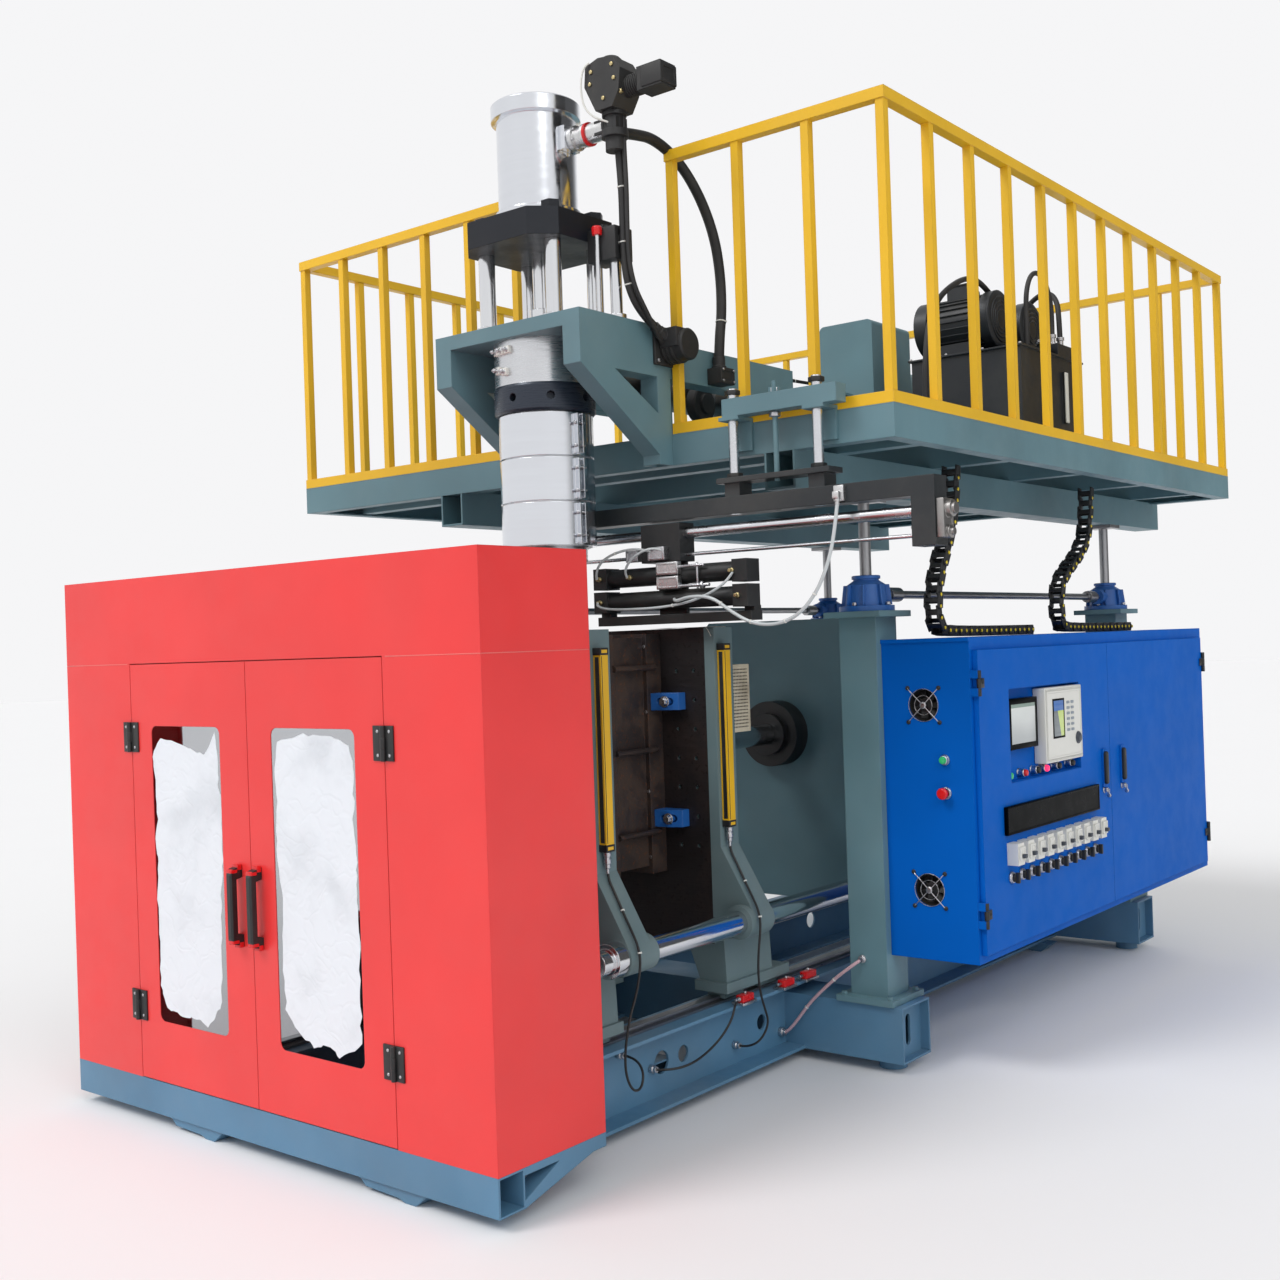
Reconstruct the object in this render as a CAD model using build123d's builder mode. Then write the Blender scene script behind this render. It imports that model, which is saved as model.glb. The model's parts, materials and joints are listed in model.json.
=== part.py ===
from build123d import *
import os
from math import cos, pi, radians, sin

# Blow moulding machine with an accumulator head, in millimetres.
# X runs to the right of someone who faces the guard, Y to the rear and Z up.
# The origin is on the floor, midway between the four anchor bolts.

# Clearances
GAP = 0.3  # between faces of pieces that move past each other
RUN = 0.05  # radial play of a shaft or bar in its bore
SEAM = 3.0  # gap round a door or a sheet joint

# Base
PAD_HEIGHT = 40.0
PAD_RADIUS = 50.0
ANCHOR_X = 830.0
ANCHOR_Y = 1155.0
ANCHOR_RADIUS = 11.0
BEAM_X = 430.0
BEAM_HEIGHT = 250.0
BEAM_WIDTH = 180.0
BEAM_FLANGE = 12.0
BEAM_WEB = 10.0
BEAM_REAR = 1255.0
OUTRIGGER_SIDE = 200.0
OUTRIGGER_WALL = 8.0
OUTRIGGER_END = 928.0
SILL_HEIGHT = 110.0
SILL_DEPTH = 100.0
SILL_WALL = 6.0

# Columns and screw jacks
COLUMN_X = 785.0
COLUMN_Y = 1155.0
COLUMN_SIDE = 150.0
COLUMN_WALL = 8.0
COLUMN_FOOT = 230.0
COLUMN_TOP = 1640.0
COLUMN_PLATE = 22.0
FOOT_BOLT_INSET = 22.0
JACK_RADIUS = 78.0
JACK_BODY = 130.0
SCREW_RADIUS = 21.0
LINK_RADIUS = 15.0
LINK_HEIGHT = 62.0

# Platform
PLATFORM_LEFT = -1700.0
PLATFORM_RIGHT = 1220.0
PLATFORM_FRONT = -1700.0
PLATFORM_REAR = 1700.0
DECK_TOP = 2285.0
DECK_SHEET = 5.0
FASCIA = 110.0
FASCIA_WALL = 8.0
FASCIA_FLANGE = 55.0
SUB_BEAM = 125.0
JOIST_COUNT = 5
RAIL_TUBE = 38.0
BAR_TUBE = 30.0
RAIL_HEIGHT = 1000.0

# Head and its bracket
HEAD_Y = -1985.0
BRACKET_HALF = 340.0
BRACKET_TUBE = 75.0
BRACKET_BEAM = 130.0
BRACKET_TOP = 2660.0
BRACKET_PLATE = 50.0
BRACKET_FRONT = -2180.0
BRACKET_REAR = -1685.0
CORE_RADIUS = 150.0
BAND_RADIUS = 166.0
RING_RADIUS = 178.0
COLLAR_BOTTOM = 2455.0
RING_BOTTOM = 2358.0
DIE_BOTTOM = 1800.0
BAND_COUNT = 3
BAND_BOTTOM = 1896.0
HEAD_COLUMN_X = 157.0
HEAD_COLUMN_Y = 109.0
HEAD_COLUMN_RADIUS = 29.0
HEAD_PLATE_BOTTOM = 2935.0
HEAD_PLATE = 94.0
HEAD_PLATE_X = 216.0
HEAD_PLATE_Y = 216.0
HEAD_PLATE_CUT = 76.0
PISTON_ROD_RADIUS = 30.0
INJECTION_RADIUS = 140.0
INJECTION_TOP = 3450.0
BARREL_Z = 2530.0
BARREL_FRONT = HEAD_Y + 205.0

# Clamp
CLAMP_Y = HEAD_Y
DAYLIGHT = 562.0
PLATEN_HALF = 450.0
PLATEN_BOTTOM = 500.0
PLATEN_TOP = 1600.0
PLATEN_THICK = 70.0
ARM_DEPTH = 108.0
ARM_WIDTH = 43.0
TIE_X = 575.0
TIE_Z = 590.0
TIE_RADIUS = 40.0
BOSS_RADIUS = 58.0
BOSS_LENGTH = 138.0
BOSS_PROUD = 28.0
CYLINDER_PLATE_FRONT = -560.0
CYLINDER_PLATE = 90.0
CYLINDER_RADIUS = 120.0
CYLINDER_Z = 1150.0
CLAMP_ROD_RADIUS = 45.0
OPEN_STROKE = 200.0
SLIDE_X = BEAM_X
RAIL_FRONT = -2905.0
RAIL_REAR = -300.0
SLIDE_WIDTH = 34.0
SLIDE_HEIGHT = 24.0
SHOE_WIDTH = 140.0
SHOE_LENGTH = 390.0
SHOE_PLATE = 36.0
CARRIAGE_HEIGHT = 40.0
PINION_RADIUS = 48.0
PINION_TEETH = 16

# Mould
MOULD_HALF = 255.0
MOULD_BOTTOM = 755.0
MOULD_TOP = 1585.0
MOULD_BACK = 80.0
MOULD_BODY = 236.0
PILLAR_RADIUS = 10.0
PARTING = 0.2

# Guard
GUARD_FRONT = -3040.0
GUARD_DEPTH = 440.0
GUARD_LEFT = -1370.0
GUARD_RIGHT = 700.0
GUARD_TOP = 1828.0
GUARD_SHEET = 3.0
DOOR_LEFT = -975.0
DOOR_MIDDLE = -332.0
DOOR_RIGHT = 310.0
DOOR_TOP = 1541.0
DOOR_FOLD = 22.0
WINDOW_BOTTOM = 355.0
WINDOW_TOP = 1333.0

# Control cabinet
CABINET_BACK = COLUMN_X + COLUMN_SIDE / 2
CABINET_FRONT = 1220.0
CABINET_Y0 = -1195.0
CABINET_Y1 = 1245.0
CABINET_BOTTOM = 410.0
CABINET_TOP = 1535.0
CABINET_SHEET = 3.0
PANEL_THICK = 20.0

BASE_TOP = PAD_HEIGHT + BEAM_HEIGHT
OUTRIGGER_TOP = PAD_HEIGHT + OUTRIGGER_SIDE
FRAME_BOTTOM = DECK_TOP - FASCIA
SUB_BOTTOM = FRAME_BOTTOM - SUB_BEAM
FACE_FRONT = CLAMP_Y - DAYLIGHT / 2
FACE_REAR = CLAMP_Y + DAYLIGHT / 2
JACK_SPOTS = [(sx * COLUMN_X, sy * COLUMN_Y) for sx in (-1, 1) for sy in (-1, 1)]

os.makedirs("parts", exist_ok=True)


def block(x, y, z, mode=Mode.ADD):
    """A block between two limits along each axis."""
    with Locations((sum(x) / 2, sum(y) / 2, sum(z) / 2)):
        Box(x[1] - x[0], y[1] - y[0], z[1] - z[0], mode=mode)


def bar_x(y, z, radius, x0, x1, mode=Mode.ADD):
    """A round bar along X."""
    with Locations(((x0 + x1) / 2, y, z)):
        Cylinder(radius, x1 - x0, rotation=(0, 90, 0), mode=mode)


def bar_y(x, z, radius, y0, y1, mode=Mode.ADD):
    """A round bar along Y."""
    with Locations((x, (y0 + y1) / 2, z)):
        Cylinder(radius, y1 - y0, rotation=(90, 0, 0), mode=mode)


def bar_z(x, y, radius, z0, z1, mode=Mode.ADD):
    """A round bar along Z."""
    with Locations((x, y, (z0 + z1) / 2)):
        Cylinder(radius, z1 - z0, mode=mode)


def tube_x(x, y, z, wall, mode=Mode.ADD):
    """A rectangular tube along X."""
    with BuildSketch(Plane.YZ.offset(x[0])) as profile:
        with Locations((sum(y) / 2, sum(z) / 2)):
            Rectangle(y[1] - y[0], z[1] - z[0])
            Rectangle(y[1] - y[0] - 2 * wall, z[1] - z[0] - 2 * wall, mode=Mode.SUBTRACT)
    extrude(profile.sketch, amount=x[1] - x[0], mode=mode)


def tube_y(x, y, z, wall, mode=Mode.ADD):
    """A rectangular tube along Y."""
    with BuildSketch(Plane.XZ.offset(-y[1])) as profile:
        with Locations((sum(x) / 2, sum(z) / 2)):
            Rectangle(x[1] - x[0], z[1] - z[0])
            Rectangle(x[1] - x[0] - 2 * wall, z[1] - z[0] - 2 * wall, mode=Mode.SUBTRACT)
    extrude(profile.sketch, amount=y[1] - y[0], mode=mode)


def tube_z(x, y, z, wall, mode=Mode.ADD):
    """A rectangular tube along Z."""
    with BuildSketch(Plane.XY.offset(z[0])) as profile:
        with Locations((sum(x) / 2, sum(y) / 2)):
            Rectangle(x[1] - x[0], y[1] - y[0])
            Rectangle(x[1] - x[0] - 2 * wall, y[1] - y[0] - 2 * wall, mode=Mode.SUBTRACT)
    extrude(profile.sketch, amount=z[1] - z[0], mode=mode)


def h_beam_y(x, y, z, flange, web):
    """An H beam along Y with level flanges."""
    middle = sum(x) / 2
    block(x, y, (z[0], z[0] + flange))
    block(x, y, (z[1] - flange, z[1]))
    block((middle - web / 2, middle + web / 2), y, (z[0] + flange, z[1] - flange))


def plate_yz(points, x0, x1, mode=Mode.ADD):
    """A plate square to X, with an outline of points in Y and Z."""
    with BuildSketch(Plane.YZ.offset(x0)) as profile:
        with BuildLine():
            Polyline(*points, close=True)
        make_face()
    extrude(profile.sketch, amount=x1 - x0, mode=mode)


def plate_xz(points, y0, y1, mode=Mode.ADD):
    """A plate square to Y, with an outline of points in X and Z."""
    with BuildSketch(Plane.XZ.offset(-y1)) as profile:
        with BuildLine():
            Polyline(*points, close=True)
        make_face()
    extrude(profile.sketch, amount=y1 - y0, mode=mode)


def save(builder, name):
    """Labels a finished sub-part and writes its STEP file."""
    builder.part.label = name
    export_step(builder.part, f"parts/{name}.step")


# Base frame: two H beams, a front sill under the guard, cross beams and four outriggers
BRACE_Y = GUARD_FRONT + GUARD_DEPTH
BEAM_INNER = BEAM_X - BEAM_WEB / 2
with BuildPart() as base_frame:
    tube_x(
        (GUARD_LEFT, GUARD_RIGHT),
        (GUARD_FRONT, GUARD_FRONT + SILL_DEPTH),
        (PAD_HEIGHT, PAD_HEIGHT + SILL_HEIGHT),
        SILL_WALL,
    )
    for side in (-1, 1):
        middle = side * BEAM_X
        h_beam_y(
            (middle - BEAM_WIDTH / 2, middle + BEAM_WIDTH / 2),
            (GUARD_FRONT + SILL_DEPTH, BEAM_REAR),
            (PAD_HEIGHT, BASE_TOP),
            BEAM_FLANGE,
            BEAM_WEB,
        )
        for y, radius in ((-2000, 38), (-1880, 28), (-1410, 28), (300, 38)):
            bar_x(
                y, PAD_HEIGHT + BEAM_HEIGHT * 0.48, radius,
                middle - BEAM_WEB, middle + BEAM_WEB, mode=Mode.SUBTRACT,
            )
        for end in (-1, 1):
            outer = (middle + side * BEAM_WEB / 2, side * OUTRIGGER_END)
            tube_x(
                (min(outer), max(outer)),
                (end * ANCHOR_Y - OUTRIGGER_SIDE / 2, end * ANCHOR_Y + OUTRIGGER_SIDE / 2),
                (PAD_HEIGHT, OUTRIGGER_TOP),
                OUTRIGGER_WALL,
            )
            slot_x = side * (OUTRIGGER_END - 40)
            block(
                (slot_x - 5, slot_x + 5),
                (end * ANCHOR_Y - OUTRIGGER_SIDE / 2 + OUTRIGGER_WALL,
                 end * ANCHOR_Y + OUTRIGGER_SIDE / 2 - OUTRIGGER_WALL),
                (PAD_HEIGHT + OUTRIGGER_WALL, OUTRIGGER_TOP - OUTRIGGER_WALL),
            )
            with BuildSketch(Plane.YZ.offset(slot_x - 10)):
                with Locations((end * ANCHOR_Y, PAD_HEIGHT + OUTRIGGER_SIDE / 2)):
                    SlotOverall(110, 34, rotation=90)
            extrude(amount=20, mode=Mode.SUBTRACT)
    for y in (-ANCHOR_Y, ANCHOR_Y):
        tube_x(
            (-BEAM_INNER, BEAM_INNER),
            (y - OUTRIGGER_SIDE / 2, y + OUTRIGGER_SIDE / 2),
            (PAD_HEIGHT, OUTRIGGER_TOP),
            OUTRIGGER_WALL,
        )
    tube_x((-BEAM_INNER, BEAM_INNER), (CLAMP_Y - 60, CLAMP_Y + 60), (PAD_HEIGHT, PAD_HEIGHT + 120), 6)
    # Struts that carry the ends of the sill and the guard's side sheets
    for x0, x1 in ((GUARD_RIGHT - 60, GUARD_RIGHT), (GUARD_LEFT, GUARD_LEFT + 60)):
        plate_yz(
            [
                (GUARD_FRONT + SILL_DEPTH, PAD_HEIGHT),
                (GUARD_FRONT + SILL_DEPTH, PAD_HEIGHT + 22),
                (BRACE_Y - 200, PAD_HEIGHT + SILL_HEIGHT - 22),
                (GUARD_FRONT + SILL_DEPTH, PAD_HEIGHT + SILL_HEIGHT - 22),
                (GUARD_FRONT + SILL_DEPTH, PAD_HEIGHT + SILL_HEIGHT),
                (BRACE_Y, PAD_HEIGHT + SILL_HEIGHT),
                (BRACE_Y, PAD_HEIGHT + SILL_HEIGHT - 26),
            ],
            x0,
            x1,
        )
    for arm_x in ((BEAM_X + BEAM_WEB / 2, GUARD_RIGHT), (GUARD_LEFT, -BEAM_X - BEAM_WEB / 2)):
        block(arm_x, (BRACE_Y - 60, BRACE_Y), (PAD_HEIGHT + 70, PAD_HEIGHT + SILL_HEIGHT))
    # Round anchor pads under the outriggers, each with a hole up into the outrigger
    for side in (-1, 1):
        for end in (-1, 1):
            centre = (side * ANCHOR_X, end * ANCHOR_Y)
            bar_z(*centre, PAD_RADIUS, 0, PAD_HEIGHT)
            bar_z(*centre, ANCHOR_RADIUS, 0, PAD_HEIGHT + OUTRIGGER_WALL, mode=Mode.SUBTRACT)
save(base_frame, "base_frame")

# Levelling feet: a tapered block with a wedge below it
FOOT_SPOTS = [(-680.0, -2985.0), (270.0, -2985.0), (-BEAM_X, 900.0), (BEAM_X, 900.0)]
with BuildPart() as levelling_feet:
    for x, y in FOOT_SPOTS:
        plate_xz(
            [
                (x - 150, PAD_HEIGHT), (x - 120, 14), (x + 20, 9), (x + 48, 0), (x + 92, 0),
                (x + 112, 16), (x + 140, PAD_HEIGHT),
            ],
            y - 45,
            y + 45,
        )
save(levelling_feet, "levelling_feet")

# Slide rails: strips bolted to the H beams, with undercut sides for the carriages
with BuildPart() as slide_rails:
    for side in (-1, 1):
        x = side * SLIDE_X
        z = BASE_TOP
        plate_xz(
            [
                (x - 30, z), (x + 30, z), (x + 30, z + 8), (x + 12, z + 12), (x + SLIDE_WIDTH / 2, z + 16),
                (x + SLIDE_WIDTH / 2, z + SLIDE_HEIGHT), (x - SLIDE_WIDTH / 2, z + SLIDE_HEIGHT),
                (x - SLIDE_WIDTH / 2, z + 16), (x - 12, z + 12), (x - 30, z + 8),
            ],
            RAIL_FRONT,
            RAIL_REAR,
        )
save(slide_rails, "slide_rails")

# Columns: square tube with a foot plate, a top plate and its bolts
FOOT_TOP = OUTRIGGER_TOP + COLUMN_PLATE
FOOT_BOLT = COLUMN_FOOT / 2 - FOOT_BOLT_INSET
with BuildPart() as columns:
    for x, y in JACK_SPOTS:
        tube_z(
            (x - COLUMN_SIDE / 2, x + COLUMN_SIDE / 2),
            (y - COLUMN_SIDE / 2, y + COLUMN_SIDE / 2),
            (OUTRIGGER_TOP, COLUMN_TOP),
            COLUMN_WALL,
        )
    for z in (OUTRIGGER_TOP, COLUMN_TOP - COLUMN_PLATE):
        with BuildSketch(Plane.XY.offset(z)):
            with Locations(*JACK_SPOTS):
                Rectangle(COLUMN_FOOT, COLUMN_FOOT)
                Circle(SCREW_RADIUS + RUN, mode=Mode.SUBTRACT)
        extrude(amount=COLUMN_PLATE)
    with BuildSketch(Plane.XY.offset(FOOT_TOP)):
        with Locations(*JACK_SPOTS):
            with GridLocations(2 * FOOT_BOLT, 2 * FOOT_BOLT, 2, 2):
                RegularPolygon(12, 6)
    extrude(amount=10)
save(columns, "columns")

# Screw jacks: a flanged cast housing with a ribbed bell and a neck round the screw
JACK_TOP = COLUMN_TOP + JACK_BODY
LINK_Z = COLUMN_TOP + LINK_HEIGHT
with BuildPart() as screw_jacks:
    for x, y in JACK_SPOTS:
        with BuildSketch(Plane.XZ.offset(-y)):
            with BuildLine():
                Polyline(
                    (x + SCREW_RADIUS + RUN, COLUMN_TOP),
                    (x + JACK_RADIUS + 22, COLUMN_TOP),
                    (x + JACK_RADIUS + 22, COLUMN_TOP + 20),
                    (x + JACK_RADIUS, COLUMN_TOP + 20),
                    (x + JACK_RADIUS - 8, COLUMN_TOP + 96),
                    (x + 46, COLUMN_TOP + 112),
                    (x + 46, JACK_TOP),
                    (x + SCREW_RADIUS + RUN, JACK_TOP),
                    close=True,
                )
            make_face()
        revolve(axis=Axis((x, y, 0), (0, 0, 1)))
        inward = -1 if y > 0 else 1
        span = sorted((y + inward * (SCREW_RADIUS + 20), y + inward * 118))
        bar_y(x, LINK_Z, 36, *span)
        bar_y(x, LINK_Z, LINK_RADIUS + RUN, *span, mode=Mode.SUBTRACT)
save(screw_jacks, "screw_jacks")

# Link shafts: one on each side, from the worm of the front jack to that of the rear jack
SHAFT_END = COLUMN_Y - SCREW_RADIUS - 22
for side, name in ((-1, "link_shaft_left"), (1, "link_shaft_right")):
    with BuildPart() as link_shaft:
        bar_y(side * COLUMN_X, LINK_Z, LINK_RADIUS, -SHAFT_END, SHAFT_END)
        for y in (-960, 960):
            bar_y(side * COLUMN_X, LINK_Z, 27, y - 40, y + 40)
    save(link_shaft, name)

# Jack screws, fixed to the platform's long beams by a plate
with BuildPart() as jack_screws:
    for x, y in JACK_SPOTS:
        bar_z(x, y, SCREW_RADIUS, OUTRIGGER_TOP + 500, SUB_BOTTOM - 16)
        block((x - 60, x + 60), (y - 60, y + 60), (SUB_BOTTOM - 16, SUB_BOTTOM))
save(jack_screws, "jack_screws")

# Platens: a ribbed plate with two side arms that bend out to the tie bar bosses
ARM_X = PLATEN_HALF + ARM_WIDTH
ARM_BEND = 840.0
GRID_PITCH = 102.0
GRID_BOTTOM = 838.0
RIB = 22.0
CARRIAGE_BOTTOM = BASE_TOP + 14
CARRIAGE_TOP = CARRIAGE_BOTTOM + CARRIAGE_HEIGHT - 14
SHOE_TOP = CARRIAGE_TOP + SHOE_PLATE
RACK_Z = (BASE_TOP + 40, BASE_TOP + 70)
RACK_PITCH = 2 * pi * PINION_RADIUS / PINION_TEETH
TOOTH = RACK_PITCH / pi


def platen(face, back, bore):
    """A platen whose mould face is at one Y and whose ribs point to back, which is -1 or 1."""

    def span(a, b):
        return tuple(sorted((face + back * a, face + back * b)))

    block((-PLATEN_HALF, PLATEN_HALF), span(0, PLATEN_THICK), (PLATEN_BOTTOM, PLATEN_TOP))
    for z in (PLATEN_BOTTOM, CYLINDER_Z - 160, CYLINDER_Z + 140, PLATEN_TOP - RIB):
        block((-PLATEN_HALF, PLATEN_HALF), span(PLATEN_THICK, ARM_DEPTH - 6), (z, z + RIB))
    for x in (-190, 190):
        block((x - RIB / 2, x + RIB / 2), span(PLATEN_THICK, ARM_DEPTH - 6), (PLATEN_BOTTOM, PLATEN_TOP))
    for side in (-1, 1):
        arm = [
            (PLATEN_HALF - 20, PLATEN_TOP), (ARM_X, PLATEN_TOP), (ARM_X, ARM_BEND),
            (TIE_X + 48, TIE_Z + 32),
            (TIE_X, TIE_Z - BOSS_RADIUS + 4),
            (PLATEN_HALF - 20, PLATEN_BOTTOM + 8),
        ]
        plate_xz([(side * x, z) for x, z in arm], *span(0, ARM_DEPTH))
        bar_y(side * TIE_X, TIE_Z, BOSS_RADIUS, *span(-BOSS_PROUD, BOSS_LENGTH - BOSS_PROUD))
        bar_y(side * TIE_X, TIE_Z, bore, *span(-BOSS_PROUD, BOSS_LENGTH - BOSS_PROUD), mode=Mode.SUBTRACT)
        # Shoe: pedestal, plate and the two carriages that straddle the slide rail
        x = side * SLIDE_X
        pedestal = [
            (SLIDE_X - 115, PLATEN_BOTTOM + RIB), (SLIDE_X + 52, PLATEN_BOTTOM + RIB),
            (SLIDE_X + 60, SHOE_TOP), (SLIDE_X - 55, SHOE_TOP),
        ]
        plate_xz([(side * px, pz) for px, pz in pedestal], *span(14, 294))
        block((x - SHOE_WIDTH / 2, x + SHOE_WIDTH / 2), span(0, SHOE_LENGTH), (CARRIAGE_TOP, SHOE_TOP))
        for start in (30, 240):
            block((x - 36, x + 36), span(start, start + 115), (CARRIAGE_BOTTOM, CARRIAGE_TOP))
            block(
                (x - SLIDE_WIDTH / 2 - GAP, x + SLIDE_WIDTH / 2 + GAP),
                span(start - 1, start + 116),
                (CARRIAGE_BOTTOM - 1, BASE_TOP + SLIDE_HEIGHT + GAP),
                mode=Mode.SUBTRACT,
            )
    # Gusset over the pedestals, and the holes for the mould's bolts
    block((-PLATEN_HALF, PLATEN_HALF), span(PLATEN_THICK, 294), (PLATEN_BOTTOM, PLATEN_BOTTOM + RIB))
    with BuildSketch(Plane.XZ.offset(-face)) as bolt_holes:
        with Locations((-362, GRID_BOTTOM + 3 * GRID_PITCH), (362, GRID_BOTTOM + 3 * GRID_PITCH)):
            with GridLocations(75, GRID_PITCH, 2, 7):
                RegularPolygon(8, 6)
    extrude(bolt_holes.sketch, amount=22, dir=(0, back, 0), mode=Mode.SUBTRACT)


def rack(x, toward, start, end):
    """A rack bar along Y whose teeth point to toward, which is -1 or 1 along X."""
    points = []
    before = int((CLAMP_Y - start) / RACK_PITCH)
    start = CLAMP_Y - (before + 0.25) * RACK_PITCH
    count = int((end - start) / RACK_PITCH)
    for tooth in range(count):
        y = start + tooth * RACK_PITCH
        points += [
            (x - toward * TOOTH, y + RACK_PITCH * 0.12), (x - toward * TOOTH, y + RACK_PITCH * 0.38),
            (x + toward * TOOTH * 0.8, y + RACK_PITCH * 0.65),
            (x + toward * TOOTH * 0.8, y + RACK_PITCH * 0.85),
        ]
    end = start + count * RACK_PITCH
    points += [(x - toward * TOOTH, end), (x - toward * 3.4 * TOOTH, end)]
    points += [(x - toward * 3.4 * TOOTH, start), (x - toward * TOOTH, start)]
    with BuildSketch(Plane.XY.offset(RACK_Z[0])) as profile:
        with BuildLine():
            Polyline(*points, close=True)
        make_face()
    extrude(profile.sketch, amount=RACK_Z[1] - RACK_Z[0])


RACK_REACH = OPEN_STROKE + 55.0
with BuildPart() as platen_front:
    platen(FACE_FRONT, -1, TIE_RADIUS)
    rack(PINION_RADIUS, -1, FACE_FRONT - 90, CLAMP_Y + RACK_REACH)
    rack_x = (PINION_RADIUS + TOOTH, PINION_RADIUS + 3 * TOOTH)
    block(rack_x, (FACE_FRONT - 90, FACE_FRONT), (RACK_Z[0], PLATEN_BOTTOM))
save(platen_front, "platen_front")

with BuildPart() as platen_rear:
    platen(FACE_REAR, 1, TIE_RADIUS + RUN)
    rack(-PINION_RADIUS, 1, CLAMP_Y - RACK_REACH, FACE_REAR + 90)
    rack_x = (-PINION_RADIUS - 3 * TOOTH, -PINION_RADIUS - TOOTH)
    block(rack_x, (FACE_REAR, FACE_REAR + 90), (RACK_Z[0], PLATEN_BOTTOM))
save(platen_rear, "platen_rear")

# Synchronising pinion and its bracket on the base's cross beam
with BuildPart() as sync_bracket:
    tube_z((-70, 70), (CLAMP_Y - 50, CLAMP_Y + 50), (PAD_HEIGHT + 120, RACK_Z[0] - 16), 6)
    block((-80, 80), (CLAMP_Y - 60, CLAMP_Y + 60), (RACK_Z[0] - 16, RACK_Z[0] - 4))
    bar_z(0, CLAMP_Y, 14, RACK_Z[0] - 4, RACK_Z[1] + 16)
    bar_z(0, CLAMP_Y, 22, RACK_Z[1] + 4, RACK_Z[1] + 16)
save(sync_bracket, "sync_bracket")

with BuildPart() as sync_pinion:
    with BuildSketch(Plane.XY.offset(RACK_Z[0])):
        with Locations((0, CLAMP_Y)):
            Circle(PINION_RADIUS - 0.95 * TOOTH)
            with PolarLocations(PINION_RADIUS - TOOTH * 0.1, PINION_TEETH):
                Trapezoid(RACK_PITCH * 0.62, 2 * TOOTH, 72, rotation=-90)
            Circle(14 + RUN, mode=Mode.SUBTRACT)
    extrude(amount=RACK_Z[1] - RACK_Z[0])
save(sync_pinion, "sync_pinion")

# Tie bars, clamped in the front platen and in the cylinder plate
TIE_FRONT = FACE_FRONT - ARM_DEPTH - 105
TIE_REAR = CYLINDER_PLATE_FRONT + CYLINDER_PLATE + 45
with BuildPart() as tie_bars:
    for side in (-1, 1):
        bar_y(side * TIE_X, TIE_Z, TIE_RADIUS, TIE_FRONT, TIE_REAR)
        for nut in (FACE_FRONT - BOSS_LENGTH + BOSS_PROUD - 50, CYLINDER_PLATE_FRONT + CYLINDER_PLATE):
            with BuildSketch(Plane.XZ.offset(-nut - (0 if nut < -2000 else 30))):
                with Locations((side * TIE_X, TIE_Z)):
                    Circle(TIE_RADIUS + 14)
            extrude(amount=-50 if nut < -2000 else 30)
save(tie_bars, "tie_bars")

# Cylinder plate: carries the clamp cylinder and rides on the slide rails
PLATE_TOP = 1630.0
PLATE_REAR = CYLINDER_PLATE_FRONT + CYLINDER_PLATE
with BuildPart() as cylinder_plate:
    with BuildSketch(Plane.XZ.offset(-PLATE_REAR)):
        with BuildLine():
            Polyline(
                (-TIE_X - 50, TIE_Z - 60), (-SLIDE_X - 60, 450), (SLIDE_X + 60, 450),
                (TIE_X + 50, TIE_Z - 60), (TIE_X + 50, TIE_Z + 45),
                (490, ARM_BEND), (490, 1500), (360, PLATE_TOP), (-360, PLATE_TOP),
                (-490, 1500), (-490, ARM_BEND), (-TIE_X - 50, TIE_Z + 45),
                close=True,
            )
        make_face()
        with Locations((0, CYLINDER_Z)):
            Circle(CYLINDER_RADIUS - 12, mode=Mode.SUBTRACT)
        with Locations((-TIE_X, TIE_Z), (TIE_X, TIE_Z)):
            Circle(TIE_RADIUS, mode=Mode.SUBTRACT)
    extrude(amount=CYLINDER_PLATE)
    for side in (-1, 1):
        x = side * SLIDE_X
        block((x - 55, x + 55), (CYLINDER_PLATE_FRONT - 60, PLATE_REAR + 120), (SHOE_TOP, 452))
        block((x - SHOE_WIDTH / 2, x + SHOE_WIDTH / 2), (-640, -330), (CARRIAGE_TOP, SHOE_TOP))
        for start in (-630, -455):
            block((x - 36, x + 36), (start, start + 115), (CARRIAGE_BOTTOM, CARRIAGE_TOP))
            block(
                (x - SLIDE_WIDTH / 2 - GAP, x + SLIDE_WIDTH / 2 + GAP),
                (start - 1, start + 116),
                (CARRIAGE_BOTTOM - 1, BASE_TOP + SLIDE_HEIGHT + GAP),
                mode=Mode.SUBTRACT,
            )
        plate_yz(
            [(PLATE_REAR, 1560), (PLATE_REAR + 200, 520), (PLATE_REAR + 200, 452), (PLATE_REAR, 452)],
            x - 15,
            x + 15,
        )
save(cylinder_plate, "cylinder_plate")

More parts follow.
